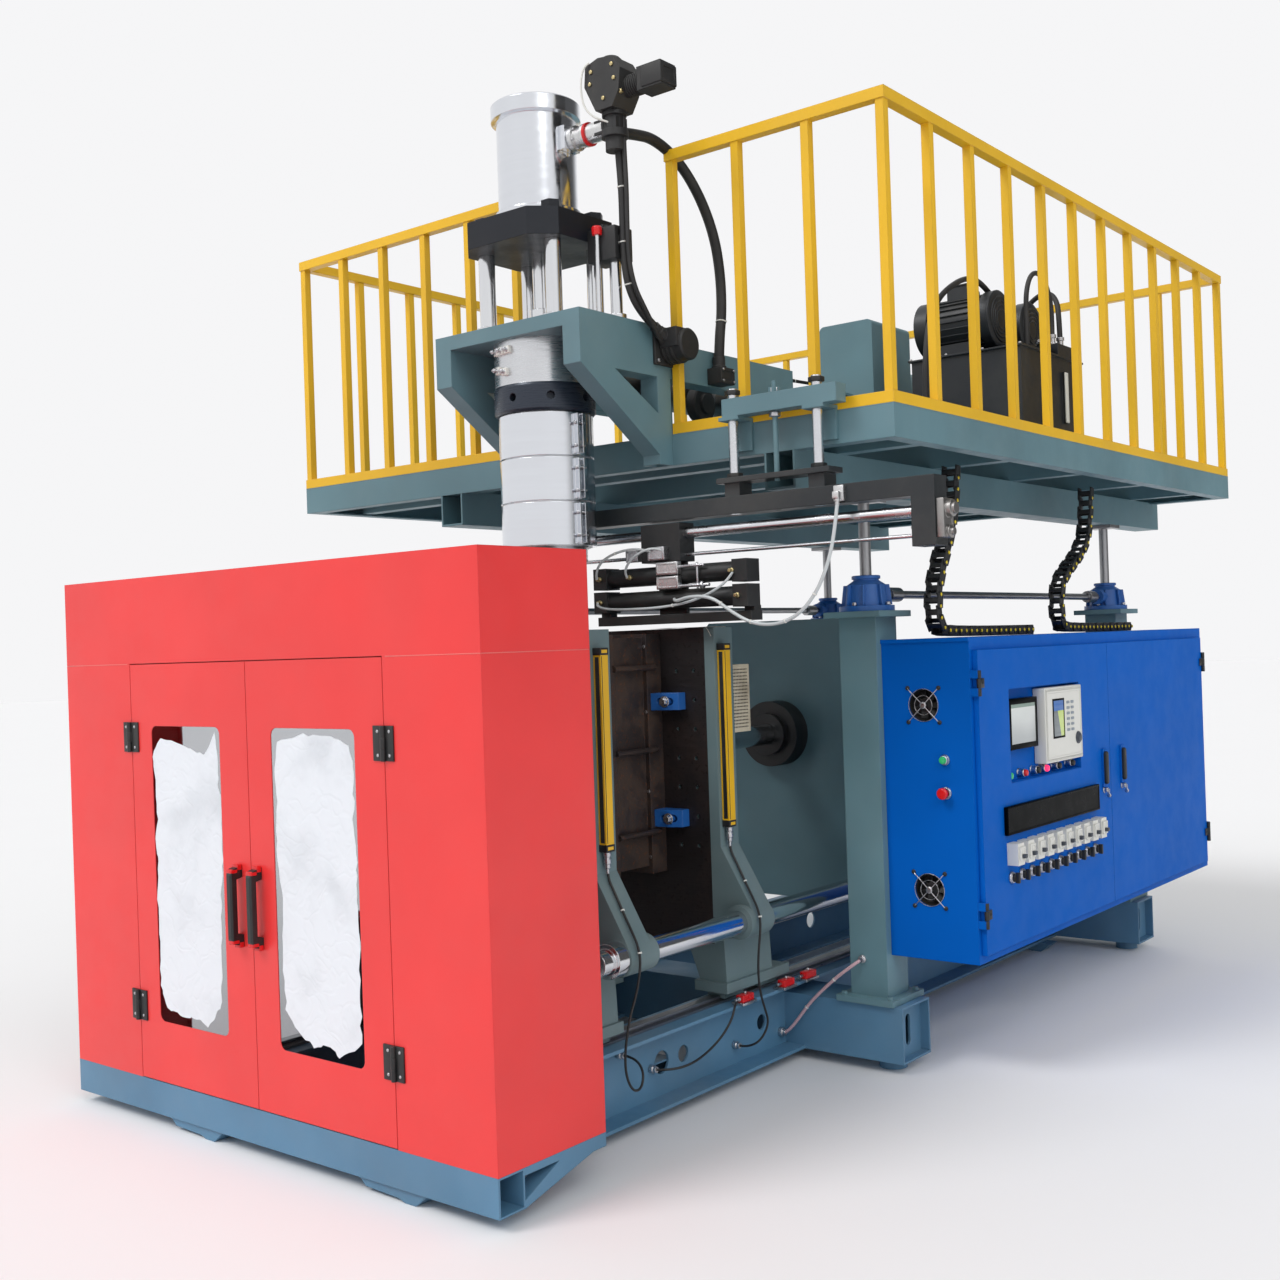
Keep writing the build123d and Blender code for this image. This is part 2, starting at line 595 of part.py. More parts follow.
# Clamp cylinder, hollow for the piston rod
CYLINDER_REAR = -20.0
CYLINDER_CAP = CYLINDER_PLATE_FRONT - 110
CYLINDER_BORE = CYLINDER_RADIUS - 20
with BuildPart() as clamp_cylinder:
    with BuildSketch(Plane.YZ):
        with BuildLine():
            Polyline(
                (CYLINDER_CAP, CYLINDER_Z + CLAMP_ROD_RADIUS + RUN),
                (CYLINDER_CAP, CYLINDER_Z + 88),
                (CYLINDER_CAP + 22, CYLINDER_Z + 88),
                (CYLINDER_CAP + 22, CYLINDER_Z + CYLINDER_RADIUS + 18),
                (CYLINDER_PLATE_FRONT, CYLINDER_Z + CYLINDER_RADIUS + 18),
                (CYLINDER_PLATE_FRONT, CYLINDER_Z + CYLINDER_RADIUS - 12),
                (PLATE_REAR, CYLINDER_Z + CYLINDER_RADIUS - 12),
                (PLATE_REAR, CYLINDER_Z + CYLINDER_RADIUS),
                (CYLINDER_REAR - 55, CYLINDER_Z + CYLINDER_RADIUS),
                (CYLINDER_REAR - 55, CYLINDER_Z + CYLINDER_RADIUS + 16),
                (CYLINDER_REAR, CYLINDER_Z + CYLINDER_RADIUS + 16),
                (CYLINDER_REAR, CYLINDER_Z),
                (CYLINDER_REAR - 30, CYLINDER_Z),
                (CYLINDER_REAR - 30, CYLINDER_Z + CYLINDER_BORE),
                (CYLINDER_CAP + 60, CYLINDER_Z + CYLINDER_BORE),
                (CYLINDER_CAP + 60, CYLINDER_Z + CLAMP_ROD_RADIUS + RUN),
                close=True,
            )
        make_face()
    revolve(axis=Axis((0, 0, CYLINDER_Z), (0, 1, 0)))
    port_z = (CYLINDER_Z + CYLINDER_RADIUS - 4, CYLINDER_Z + 165)
    block((-40, 40), (PLATE_REAR + 60, PLATE_REAR + 130), port_z)
save(clamp_cylinder, "clamp_cylinder")

# Clamp rod, from a flange on the rear platen into the cylinder
with BuildPart() as clamp_rod:
    bar_y(0, CYLINDER_Z, CLAMP_ROD_RADIUS, FACE_REAR + PLATEN_THICK, CYLINDER_CAP + 130)
    bar_y(0, CYLINDER_Z, 95, FACE_REAR + PLATEN_THICK, FACE_REAR + PLATEN_THICK + 40)
save(clamp_rod, "clamp_rod")


def mould_half(back, cavity):
    """A mould half behind the parting plane, on the side that back names, with its cavity plate."""

    def span(a, b):
        return tuple(sorted((CLAMP_Y + back * a, CLAMP_Y + back * b)))

    z = (MOULD_BOTTOM, MOULD_TOP)
    block((-MOULD_HALF, MOULD_HALF), span(PARTING, cavity), z)
    block((-MOULD_BODY, MOULD_BODY), span(cavity, DAYLIGHT / 2 - MOULD_BACK), (z[0] + 12, z[1] - 12))
    block((-MOULD_HALF, MOULD_HALF), span(DAYLIGHT / 2 - MOULD_BACK, DAYLIGHT / 2), (z[0] - 14, z[1]))
    for x in (3 - MOULD_HALF - PILLAR_RADIUS, MOULD_HALF + PILLAR_RADIUS - 3):
        for height in (888, 1176, 1466):
            bar_y(x, height, PILLAR_RADIUS, *span(cavity - 8, DAYLIGHT / 2 - MOULD_BACK + 38))
    # Cavity of a can with a filling neck
    with BuildSketch(Plane.XY.offset(MOULD_BOTTOM + 90)) as body:
        with Locations((0, CLAMP_Y)):
            RectangleRounded(330, 180, 34)
    extrude(body.sketch, amount=500, mode=Mode.SUBTRACT)
    bar_z(90, CLAMP_Y, 42, MOULD_TOP - 250, MOULD_TOP + 1, mode=Mode.SUBTRACT)


with BuildPart() as mould_front:
    mould_half(-1, 52)
    for x in ((MOULD_HALF, MOULD_HALF + 14), (-MOULD_HALF - 14, -MOULD_HALF)):
        for height in (888, 1466):
            block(x, (CLAMP_Y - 50, CLAMP_Y - 6), (height - 6, height + 76))
save(mould_front, "mould_front")

with BuildPart() as mould_rear:
    mould_half(1, 22)
save(mould_rear, "mould_rear")

# Mould clamps: slotted claws with a bolt, against the mould's back plate on the rear platen
with BuildPart() as mould_clamps:
    for side in (-1, 1):
        for z in (935, 1345):
            claw = [
                (MOULD_HALF, FACE_REAR), (MOULD_HALF + 106, FACE_REAR), (MOULD_HALF + 106, FACE_REAR - 40),
                (MOULD_HALF + 52, FACE_REAR - 58), (MOULD_HALF, FACE_REAR - 62),
            ]
            with BuildSketch(Plane.XY.offset(z - 30)):
                with BuildLine():
                    Polyline(*[(side * cx, cy) for cx, cy in claw], close=True)
                make_face()
            extrude(amount=60)
            with BuildSketch(Plane.XZ.offset(-FACE_REAR)):
                with Locations((side * (MOULD_HALF + 56), z)):
                    SlotOverall(62, 26)
            extrude(amount=70, mode=Mode.SUBTRACT)
            bar_y(side * (MOULD_HALF + 62), z, 12.9, FACE_REAR - 70, FACE_REAR)
save(mould_clamps, "mould_clamps")

# Light curtains on the platens' side arms
CURTAIN_BOTTOM = 930.0
CURTAIN_TOP = 1520.0
CURTAINS = {"light_curtain_front": FACE_FRONT - 62, "light_curtain_rear": FACE_REAR + 34}
for name, y in CURTAINS.items():
    with BuildPart() as light_curtain:
        for side in (-1, 1):
            curtain_x = tuple(sorted((side * ARM_X, side * (ARM_X + 30))))
            tube_z(curtain_x, (y - 18, y + 18), (CURTAIN_BOTTOM, CURTAIN_TOP), 2)
            for z in (CURTAIN_BOTTOM - 22, CURTAIN_TOP):
                block(tuple(sorted((side * ARM_X, side * (ARM_X + 31)))), (y - 19, y + 19), (z, z + 22))
            bar_z(side * (ARM_X + 15), y, 9, CURTAIN_BOTTOM - 70, CURTAIN_BOTTOM - 22)
    save(light_curtain, name)

# Guard shell: a closed box of red sheet, open at the back and under it, with a door opening
SIDE_BACK = GUARD_FRONT + GUARD_DEPTH
SHELL_BOTTOM = PAD_HEIGHT + SILL_HEIGHT
with BuildPart() as guard_shell:
    with BuildSketch(Plane.XZ.offset(-GUARD_FRONT)):
        with Locations(((GUARD_LEFT + GUARD_RIGHT) / 2, (SHELL_BOTTOM + GUARD_TOP) / 2)):
            Rectangle(GUARD_RIGHT - GUARD_LEFT, GUARD_TOP - SHELL_BOTTOM)
        with Locations(((DOOR_LEFT + DOOR_RIGHT) / 2, (SHELL_BOTTOM + DOOR_TOP) / 2 - 1)):
            Rectangle(DOOR_RIGHT - DOOR_LEFT, DOOR_TOP - SHELL_BOTTOM + 2, mode=Mode.SUBTRACT)
    extrude(amount=-GUARD_SHEET)
    for x in ((GUARD_LEFT, GUARD_LEFT + GUARD_SHEET), (GUARD_RIGHT - GUARD_SHEET, GUARD_RIGHT)):
        block(x, (GUARD_FRONT, SIDE_BACK), (SHELL_BOTTOM, GUARD_TOP))
        inner = 28 if x[0] < 0 else -28
        flange = sorted((x[0], x[0] + inner, x[1]))
        block((flange[0], flange[-1]), (SIDE_BACK - GUARD_SHEET, SIDE_BACK), (SHELL_BOTTOM, GUARD_TOP))
    block((GUARD_LEFT, GUARD_RIGHT), (GUARD_FRONT, SIDE_BACK), (GUARD_TOP - GUARD_SHEET, GUARD_TOP))
    block((GUARD_LEFT, GUARD_RIGHT), (SIDE_BACK - GUARD_SHEET, SIDE_BACK), (GUARD_TOP - 30, GUARD_TOP))
    # Jambs and lintel, folded in behind the doors' edges
    for x in (DOOR_LEFT, DOOR_RIGHT - GUARD_SHEET):
        outer = x - 40 if x < -500 else x
        block((outer, outer + 43), (GUARD_FRONT + 30, GUARD_FRONT + 33), (SHELL_BOTTOM, DOOR_TOP + 40))
        block((x, x + GUARD_SHEET), (GUARD_FRONT, GUARD_FRONT + 33), (SHELL_BOTTOM, DOOR_TOP + 3))
    block((DOOR_LEFT, DOOR_RIGHT), (GUARD_FRONT, GUARD_FRONT + 33), (DOOR_TOP, DOOR_TOP + GUARD_SHEET))
    # A folded lip stands on the sill along its back edge
    lip_z = (SHELL_BOTTOM, SHELL_BOTTOM + 20)
    block((GUARD_LEFT, GUARD_RIGHT), (GUARD_FRONT + 60, GUARD_FRONT + 63), lip_z)
save(guard_shell, "guard_shell")

# Guard doors: folded sheet with a window opening, hinged at their outer edges
KNUCKLE_RADIUS = 8.0
HINGE_LEFT = DOOR_LEFT + 1.5
HINGE_RIGHT = DOOR_RIGHT - 1.5
HINGE_Y = GUARD_FRONT - KNUCKLE_RADIUS
HINGE_HEIGHTS = (395.0, 1295.0)
KNUCKLE = 34.0
DOORS = {
    "left": (DOOR_LEFT + 2 * SEAM, DOOR_MIDDLE - SEAM / 2, -854.0, -476.0, HINGE_LEFT),
    "right": (DOOR_MIDDLE + SEAM / 2, DOOR_RIGHT - 2 * SEAM, -213.0, 176.0, HINGE_RIGHT),
}
for name, (x0, x1, win0, win1, hinge_x) in DOORS.items():
    with BuildPart() as guard_door:
        block((x0, x1), (GUARD_FRONT, GUARD_FRONT + DOOR_FOLD), (SHELL_BOTTOM + SEAM, DOOR_TOP - SEAM))
        block(
            (x0 + GUARD_SHEET, x1 - GUARD_SHEET),
            (GUARD_FRONT + GUARD_SHEET, GUARD_FRONT + DOOR_FOLD + 1),
            (SHELL_BOTTOM + SEAM + GUARD_SHEET, DOOR_TOP - SEAM - GUARD_SHEET),
            mode=Mode.SUBTRACT,
        )
        with BuildSketch(Plane.XZ.offset(-GUARD_FRONT - GUARD_SHEET)) as window:
            with Locations(((win0 + win1) / 2, (WINDOW_BOTTOM + WINDOW_TOP) / 2)):
                RectangleRounded(win1 - win0, WINDOW_TOP - WINDOW_BOTTOM, 25)
        extrude(window.sketch, amount=2 * GUARD_SHEET, mode=Mode.SUBTRACT)
        for z in HINGE_HEIGHTS:
            bar_z(hinge_x, HINGE_Y, KNUCKLE_RADIUS, z - KNUCKLE / 2 + GAP, z + KNUCKLE / 2 - GAP)
            bar_z(hinge_x, HINGE_Y, 3.5 + RUN, z - KNUCKLE, z + KNUCKLE, mode=Mode.SUBTRACT)
            leaf = sorted((hinge_x + (6 if hinge_x < 0 else -6), hinge_x + (36 if hinge_x < 0 else -36)))
            block(leaf, (GUARD_FRONT - 4, GUARD_FRONT), (z - KNUCKLE / 2 + GAP, z + KNUCKLE / 2 - GAP))
    save(guard_door, f"guard_door_{name}")
    with BuildPart() as guard_window:
        with BuildSketch(Plane.XZ.offset(-GUARD_FRONT - GUARD_SHEET - 5)):
            with Locations(((win0 + win1) / 2, (WINDOW_BOTTOM + WINDOW_TOP) / 2)):
                RectangleRounded(win1 - win0 + 30, WINDOW_TOP - WINDOW_BOTTOM + 30, 30)
        extrude(amount=5)
    save(guard_window, f"guard_window_{name}")
    with BuildPart() as guard_handle:
        x = x1 - 58 if name == "left" else x0 + 38
        with BuildSketch(Plane.YZ.offset(x - 13)):
            with BuildLine():
                Polyline(
                    (GUARD_FRONT, 653), (GUARD_FRONT - 34, 662), (GUARD_FRONT - 44, 680),
                    (GUARD_FRONT - 44, 877), (GUARD_FRONT - 34, 895), (GUARD_FRONT, 904),
                    (GUARD_FRONT, 868), (GUARD_FRONT - 22, 862),
                    (GUARD_FRONT - 22, 695), (GUARD_FRONT, 689),
                    close=True,
                )
            make_face()
        extrude(amount=26)
        chamfer(guard_handle.edges().filter_by(Axis.Z).group_by(Axis.Y)[0], 5)
    save(guard_handle, f"guard_handle_{name}")

# Hinge leaves and pins on the shell, above and below each door's knuckles
with BuildPart() as guard_hinges:
    for x, outward in ((HINGE_LEFT, -1), (HINGE_RIGHT, 1)):
        for z in HINGE_HEIGHTS:
            bar_z(x, HINGE_Y, 3.5, z - 50, z + 50)
            for low in (z - 50, z + KNUCKLE / 2):
                bar_z(x, HINGE_Y, KNUCKLE_RADIUS, low, low + 33)
            leaf = sorted((x + outward * 5, x + outward * 38))
            block(leaf, (GUARD_FRONT - 4, GUARD_FRONT), (z - 50, z - KNUCKLE / 2))
            block(leaf, (GUARD_FRONT - 4, GUARD_FRONT), (z + KNUCKLE / 2, z + 50))
save(guard_hinges, "guard_hinges")

# Control cabinet: a sheet shell with two door openings and two fan openings
FRAME_FACE = CABINET_FRONT - PANEL_THICK - GAP
CAB_DOORS = {"left": (-1175.0, 5.0), "right": (8.0, 1188.0)}
CAB_DOOR_Z = (440.0, 1490.0)
CAB_HINGE_X = CABINET_FRONT + 6.0
CAB_HINGES = {"left": (-1181.0, -1), "right": (1194.0, 1)}
CAB_HINGE_HEIGHTS = (579.0, 1376.0)
FAN_X = 1020.0
FAN_HEIGHTS = (655.0, 1302.0)
FAN_RADIUS = 56.0
STOP_X = 1095.0
STOP_Z = 997.0
with BuildPart() as cabinet_shell:
    block((CABINET_BACK, FRAME_FACE), (CABINET_Y0, CABINET_Y1), (CABINET_BOTTOM, CABINET_TOP))
    block(
        (CABINET_BACK + CABINET_SHEET, FRAME_FACE - CABINET_SHEET),
        (CABINET_Y0 + CABINET_SHEET, CABINET_Y1 - CABINET_SHEET),
        (CABINET_BOTTOM + CABINET_SHEET, CABINET_TOP - CABINET_SHEET),
        mode=Mode.SUBTRACT,
    )
    for y0, y1 in CAB_DOORS.values():
        block(
            (FRAME_FACE - 10, FRAME_FACE + 1),
            (y0 + 24, y1 - 24),
            (CAB_DOOR_Z[0] + 24, CAB_DOOR_Z[1] - 24),
            mode=Mode.SUBTRACT,
        )
    with BuildSketch(Plane.XZ.offset(-CABINET_Y0)):
        for z in FAN_HEIGHTS:
            with Locations((FAN_X, z)):
                Circle(FAN_RADIUS)
        with Locations((STOP_X, STOP_Z)):
            Circle(11 + RUN)
    extrude(amount=-3 * CABINET_SHEET, mode=Mode.SUBTRACT)
    # Drip roof edge, lamp, and the collar of the stop button
    block((CABINET_BACK, FRAME_FACE), (CABINET_Y0 - 6, CABINET_Y0), (CABINET_TOP - 14, CABINET_TOP))
    bar_y(STOP_X, 1112, 11, CABINET_Y0 - 14, CABINET_Y0)
    bar_y(STOP_X, STOP_Z, 17, CABINET_Y0 - 8, CABINET_Y0)
    bar_y(STOP_X, STOP_Z, 11 + RUN, CABINET_Y0 - 9, CABINET_Y0 + 1, mode=Mode.SUBTRACT)
    for y, outward in CAB_HINGES.values():
        for z in CAB_HINGE_HEIGHTS:
            bar_z(CAB_HINGE_X, y, 3.5, z - 45, z + 45)
            for low in (z - 45, z + 17):
                bar_z(CAB_HINGE_X, y, 7, low, low + 28)
                lug = sorted((y + outward * 2, y + outward * 12))
                block((FRAME_FACE - 1, CAB_HINGE_X), lug, (low, low + 28))
save(cabinet_shell, "cabinet_shell")

# Cabinet doors: folded sheet with hinge knuckles and the plate of the swing handle
PANEL_Y = (-935.0, -298.0)
PANEL_Z = (1010.0, 1345.0)
PANEL_BUTTONS = (-916.0, -788.0, -675.0, -599.0, -483.0, -354.0)
CAB_HANDLES = {"left": -72.0, "right": 124.0}
HANDLE_Z = 1040.0
for name, (y0, y1) in CAB_DOORS.items():
    with BuildPart() as cabinet_door:
        block((CABINET_FRONT - PANEL_THICK, CABINET_FRONT), (y0, y1), CAB_DOOR_Z)
        block(
            (CABINET_FRONT - PANEL_THICK - 1, CABINET_FRONT - CABINET_SHEET),
            (y0 + 3, y1 - 3),
            (CAB_DOOR_Z[0] + 3, CAB_DOOR_Z[1] - 3),
            mode=Mode.SUBTRACT,
        )
        hinge_y = CAB_HINGES[name][0]
        inward = -CAB_HINGES[name][1]
        for z in CAB_HINGE_HEIGHTS:
            bar_z(CAB_HINGE_X, hinge_y, 7, z - 17 + GAP, z + 17 - GAP)
            leaf = sorted((hinge_y + inward * 3, hinge_y + inward * 42))
            block((CABINET_FRONT, CABINET_FRONT + 4), leaf, (z - 17 + GAP, z + 17 - GAP))
            bar_z(CAB_HINGE_X, hinge_y, 3.5 + RUN, z - 20, z + 20, mode=Mode.SUBTRACT)
        handle_y = CAB_HANDLES[name]
        plate_z = (HANDLE_Z - 128, HANDLE_Z + 26)
        block((CABINET_FRONT, CABINET_FRONT + 8), (handle_y - 17, handle_y + 17), plate_z)
        bar_x(handle_y, HANDLE_Z, 8 + RUN, CABINET_FRONT - 5, CABINET_FRONT + 9, mode=Mode.SUBTRACT)
        if name == "left":
            block((CABINET_FRONT - 30, CABINET_FRONT + 1), PANEL_Y, PANEL_Z, mode=Mode.SUBTRACT)
    save(cabinet_door, f"cabinet_door_{name}")
    with BuildPart() as cabinet_handle:
        bar_x(handle_y, HANDLE_Z, 8, CABINET_FRONT - 14, CABINET_FRONT + 12)
        with BuildSketch(Plane.YZ.offset(CABINET_FRONT + 8 + GAP)):
            with Locations((handle_y, HANDLE_Z - 50)):
                SlotOverall(132, 24, rotation=90)
        extrude(amount=13)
        chamfer(cabinet_handle.faces().sort_by(Axis.X)[-1].edges(), 4)
        cam_x = (CABINET_FRONT - 14, CABINET_FRONT - 10)
        block(cam_x, (handle_y - 9, handle_y + 9), (HANDLE_Z - 9, HANDLE_Z + 34))
    save(cabinet_handle, f"cabinet_handle_{name}")

# Control panel: a recessed tray with a touch screen, a programmer and a row of buttons
with BuildPart() as control_panel:
    tray = CABINET_FRONT - 42
    block((tray, CABINET_FRONT - CABINET_SHEET), PANEL_Y, PANEL_Z)
    block(
        (tray + 2, CABINET_FRONT),
        (PANEL_Y[0] + 2, PANEL_Y[1] - 2),
        (PANEL_Z[0] + 2, PANEL_Z[1] - 2),
        mode=Mode.SUBTRACT,
    )
    block((tray + 2, CABINET_FRONT - 8), (-924, -679), (1126, 1305))
    block((CABINET_FRONT - 11, CABINET_FRONT - 7), (-900, -703), (1146, 1290), mode=Mode.SUBTRACT)
    for y in PANEL_BUTTONS:
        bar_x(y, 1034, 13, tray + 1, tray + 8)
        bar_x(y, 1034, 10, tray + 8, tray + 22)
    block((tray + 2, CABINET_FRONT + 6), (-634, -305), (1059, 1328))
    with BuildSketch(Plane.YZ.offset(CABINET_FRONT + 3)):
        with Locations((-520, 1225)):
            Rectangle(150, 110)
        with Locations((-470, 1110)):
            with GridLocations(34, 30, 6, 3):
                Rectangle(24, 20)
        with Locations((-375, 1225)):
            with GridLocations(34, 34, 2, 4):
                Rectangle(24, 24)
    extrude(amount=4, mode=Mode.SUBTRACT)
save(control_panel, "control_panel")

# Control row: a plain strip with bosses, breakers and rotary switches
with BuildPart() as control_row:
    block((CABINET_FRONT, CABINET_FRONT + 5), (-1004, -171), (838, 929))
    with BuildSketch(Plane.YZ.offset(CABINET_FRONT + 5)):
        with Locations((-588, 883)):
            with GridLocations(138, 0, 6, 1):
                Rectangle(96, 48)
    extrude(amount=9)
    with BuildSketch(Plane.YZ.offset(CABINET_FRONT)):
        with Locations((-579, 765)):
            with GridLocations(86, 0, 10, 1):
                Rectangle(52, 78)
    extrude(amount=42)
    with BuildSketch(Plane.YZ.offset(CABINET_FRONT)):
        with Locations((-579, 680)):
            with GridLocations(86, 0, 10, 1):
                RegularPolygon(15, 8)
    extrude(amount=10)
    with BuildSketch(Plane.YZ.offset(CABINET_FRONT + 10)):
        with Locations((-579, 680)):
            with GridLocations(86, 0, 10, 1):
                Rectangle(9, 30)
    extrude(amount=12)
save(control_row, "control_row")

# Emergency stop: a mushroom button on a stem
with BuildPart() as emergency_stop:
    with BuildSketch(Plane.YZ.offset(STOP_X)):
        with BuildLine():
            Polyline(
                (CABINET_Y0 + 18, STOP_Z), (CABINET_Y0 + 18, STOP_Z + 11), (CABINET_Y0 - 20, STOP_Z + 11),
                (CABINET_Y0 - 20, STOP_Z + 18), (CABINET_Y0 - 24, STOP_Z + 20),
                (CABINET_Y0 - 32, STOP_Z + 20),
                (CABINET_Y0 - 37, STOP_Z + 16), (CABINET_Y0 - 38, STOP_Z),
                close=True,
            )
        make_face()
    revolve(axis=Axis((STOP_X, 0, STOP_Z), (0, 1, 0)))
save(emergency_stop, "emergency_stop")

# Fans: seven-bladed rotors in the cabinet's front side, behind wire guards
for z, name in zip(FAN_HEIGHTS, ("fan_rotor_lower", "fan_rotor_upper")):
    with BuildPart() as fan_rotor:
        bar_y(FAN_X, z, 24, CABINET_Y0 + 14, CABINET_Y0 + 36)
        bar_y(FAN_X, z, 4 + RUN, CABINET_Y0 + 13, CABINET_Y0 + 37, mode=Mode.SUBTRACT)
        for blade in range(7):
            angle = 2 * pi * blade / 7
            base = Plane(
                origin=(FAN_X + 20 * cos(angle), CABINET_Y0 + 25, z + 20 * sin(angle)),
                x_dir=(-sin(angle) * 0.8, 0.6, cos(angle) * 0.8),
                z_dir=(cos(angle), 0, sin(angle)),
            )
            with BuildSketch(base):
                Rectangle(26, 3)
            extrude(amount=FAN_RADIUS - 26)
    save(fan_rotor, name)

with BuildPart() as fan_guards:
    for z in FAN_HEIGHTS:
        with BuildSketch(Plane.XZ.offset(-CABINET_Y0)):
            with Locations((FAN_X, z)):
                for radius in (58, 38):
                    RegularPolygon(radius, 18)
                    RegularPolygon(radius - 4, 18, mode=Mode.SUBTRACT)
                for turn in (45, 135):
                    Rectangle(152, 5, rotation=turn)
                RegularPolygon(18, 12)
        extrude(amount=5)
        bar_y(FAN_X, z, 4, CABINET_Y0 - 2, CABINET_Y0 + 46)
        block((FAN_X - 64, FAN_X + 64), (CABINET_Y0 + 42, CABINET_Y0 + 46), (z - 9, z + 9))
        for x in (FAN_X - 64, FAN_X + 58):
            block((x, x + 6), (CABINET_Y0 + CABINET_SHEET, CABINET_Y0 + 46), (z - 9, z + 9))
save(fan_guards, "fan_guards")

# Platform frame: channel fascia, joists and two long beams over the columns
EDGE = DECK_TOP - DECK_SHEET
PLATFORM_X = (PLATFORM_LEFT, PLATFORM_RIGHT)
PLATFORM_Y = (PLATFORM_FRONT, PLATFORM_REAR)
with BuildPart() as platform_frame:
    block(PLATFORM_X, PLATFORM_Y, (FRAME_BOTTOM, EDGE))
    block(
        (PLATFORM_LEFT + FASCIA_WALL, PLATFORM_RIGHT - FASCIA_WALL),
        (PLATFORM_FRONT + FASCIA_WALL, PLATFORM_REAR - FASCIA_WALL),
        (FRAME_BOTTOM + FASCIA_WALL, EDGE - FASCIA_WALL),
        mode=Mode.SUBTRACT,
    )
    block(
        (PLATFORM_LEFT + FASCIA_FLANGE, PLATFORM_RIGHT - FASCIA_FLANGE),
        (PLATFORM_FRONT + FASCIA_FLANGE, PLATFORM_REAR - FASCIA_FLANGE),
        (FRAME_BOTTOM - 1, EDGE + 1),
        mode=Mode.SUBTRACT,
    )
    for joist in range(JOIST_COUNT):
        y = PLATFORM_FRONT + 300 + joist * (PLATFORM_REAR - PLATFORM_FRONT - 600) / (JOIST_COUNT - 1)
        tube_x(
            (PLATFORM_LEFT + FASCIA_WALL / 2, PLATFORM_RIGHT - FASCIA_WALL / 2),
            (y - 30, y + 30),
            (FRAME_BOTTOM + FASCIA_WALL, EDGE - 1),
            5,
        )
    for side in (-1, 1):
        x = side * COLUMN_X
        tube_y(
            (x - 60, x + 60),
            (PLATFORM_FRONT, PLATFORM_REAR + 60),
            (SUB_BOTTOM, FRAME_BOTTOM + FASCIA_WALL + 1),
            8,
        )
save(platform_frame, "platform_frame")

with BuildPart() as platform_deck:
    block(PLATFORM_X, PLATFORM_Y, (EDGE, DECK_TOP))
save(platform_deck, "platform_deck")


def fence(start, end, bars):
    """A handrail panel between two plan points, with evenly spaced upright tubes."""
    half = RAIL_TUBE / 2
    along_x = abs(end[0] - start[0]) > abs(end[1] - start[1])
    x = tuple(sorted((start[0], end[0])))
    y = tuple(sorted((start[1], end[1])))
    for z in (DECK_TOP, DECK_TOP + RAIL_HEIGHT - RAIL_TUBE):
        if along_x:
            block((x[0] - half, x[1] + half), (y[0] - half, y[0] + half), (z, z + RAIL_TUBE))
        else:
            block((x[0] - half, x[0] + half), (y[0] - half, y[1] + half), (z, z + RAIL_TUBE))
    with BuildSketch(Plane.XY.offset(DECK_TOP + RAIL_TUBE / 2)) as feet:
        for i in range(bars):
            t = i / (bars - 1)
            with Locations((start[0] + t * (end[0] - start[0]), start[1] + t * (end[1] - start[1]))):
                Rectangle(BAR_TUBE, BAR_TUBE)
    extrude(feet.sketch, amount=RAIL_HEIGHT - RAIL_TUBE)


RAIL_INSET = RAIL_TUBE / 2
RAIL_RIGHT = PLATFORM_RIGHT - RAIL_INSET
RAIL_LEFT = PLATFORM_LEFT + RAIL_INSET
RAIL_NEAR = PLATFORM_FRONT + RAIL_INSET
RAIL_FAR = PLATFORM_REAR - RAIL_INSET
with BuildPart() as handrail_right:
    fence((362, RAIL_NEAR), (RAIL_RIGHT, RAIL_NEAR), 4)
    fence((RAIL_RIGHT, RAIL_NEAR), (RAIL_RIGHT, RAIL_FAR), 12)
    fence((RAIL_RIGHT, RAIL_FAR), (-240, RAIL_FAR), 6)
save(handrail_right, "handrail_right")

with BuildPart() as handrail_left:
    fence((-400, RAIL_NEAR), (RAIL_LEFT, RAIL_NEAR), 6)
    fence((RAIL_LEFT, RAIL_NEAR), (RAIL_LEFT, RAIL_FAR), 12)
    fence((RAIL_LEFT, RAIL_FAR), (-330, RAIL_FAR), 5)
save(handrail_left, "handrail_left")

# Head bracket: two side frames that lean out over the clamp, under a plate
POST_FRONT = PLATFORM_FRONT - BRACKET_TUBE
BEAM_Z = (BRACKET_TOP - BRACKET_PLATE - BRACKET_BEAM, BRACKET_TOP - BRACKET_PLATE)
with BuildPart() as head_bracket:
    for side in (-1, 1):
        x = tuple(sorted((side * (BRACKET_HALF - BRACKET_TUBE), side * BRACKET_HALF)))
        tube_y(x, (BRACKET_FRONT, -900), BEAM_Z, 6)
        block(x, (BRACKET_FRONT, BRACKET_FRONT + 6), BEAM_Z)
        tube_z(x, (POST_FRONT, PLATFORM_FRONT), (FRAME_BOTTOM, BEAM_Z[0]), 6)
        tube_z(x, (-975, -900), (DECK_TOP, BEAM_Z[0]), 6)
        plate_yz(
            [
                (BRACKET_FRONT, BEAM_Z[0]), (BRACKET_FRONT + 176, BEAM_Z[0]),
                (POST_FRONT, FRAME_BOTTOM + 176), (POST_FRONT, FRAME_BOTTOM + 34),
            ],
            *x,
        )
    block((-BRACKET_HALF, BRACKET_HALF), (BRACKET_FRONT, BRACKET_REAR), (BEAM_Z[1], BRACKET_TOP))
    bar_z(0, HEAD_Y, PISTON_ROD_RADIUS + RUN, BEAM_Z[1], BRACKET_TOP, mode=Mode.SUBTRACT)
save(head_bracket, "head_bracket")

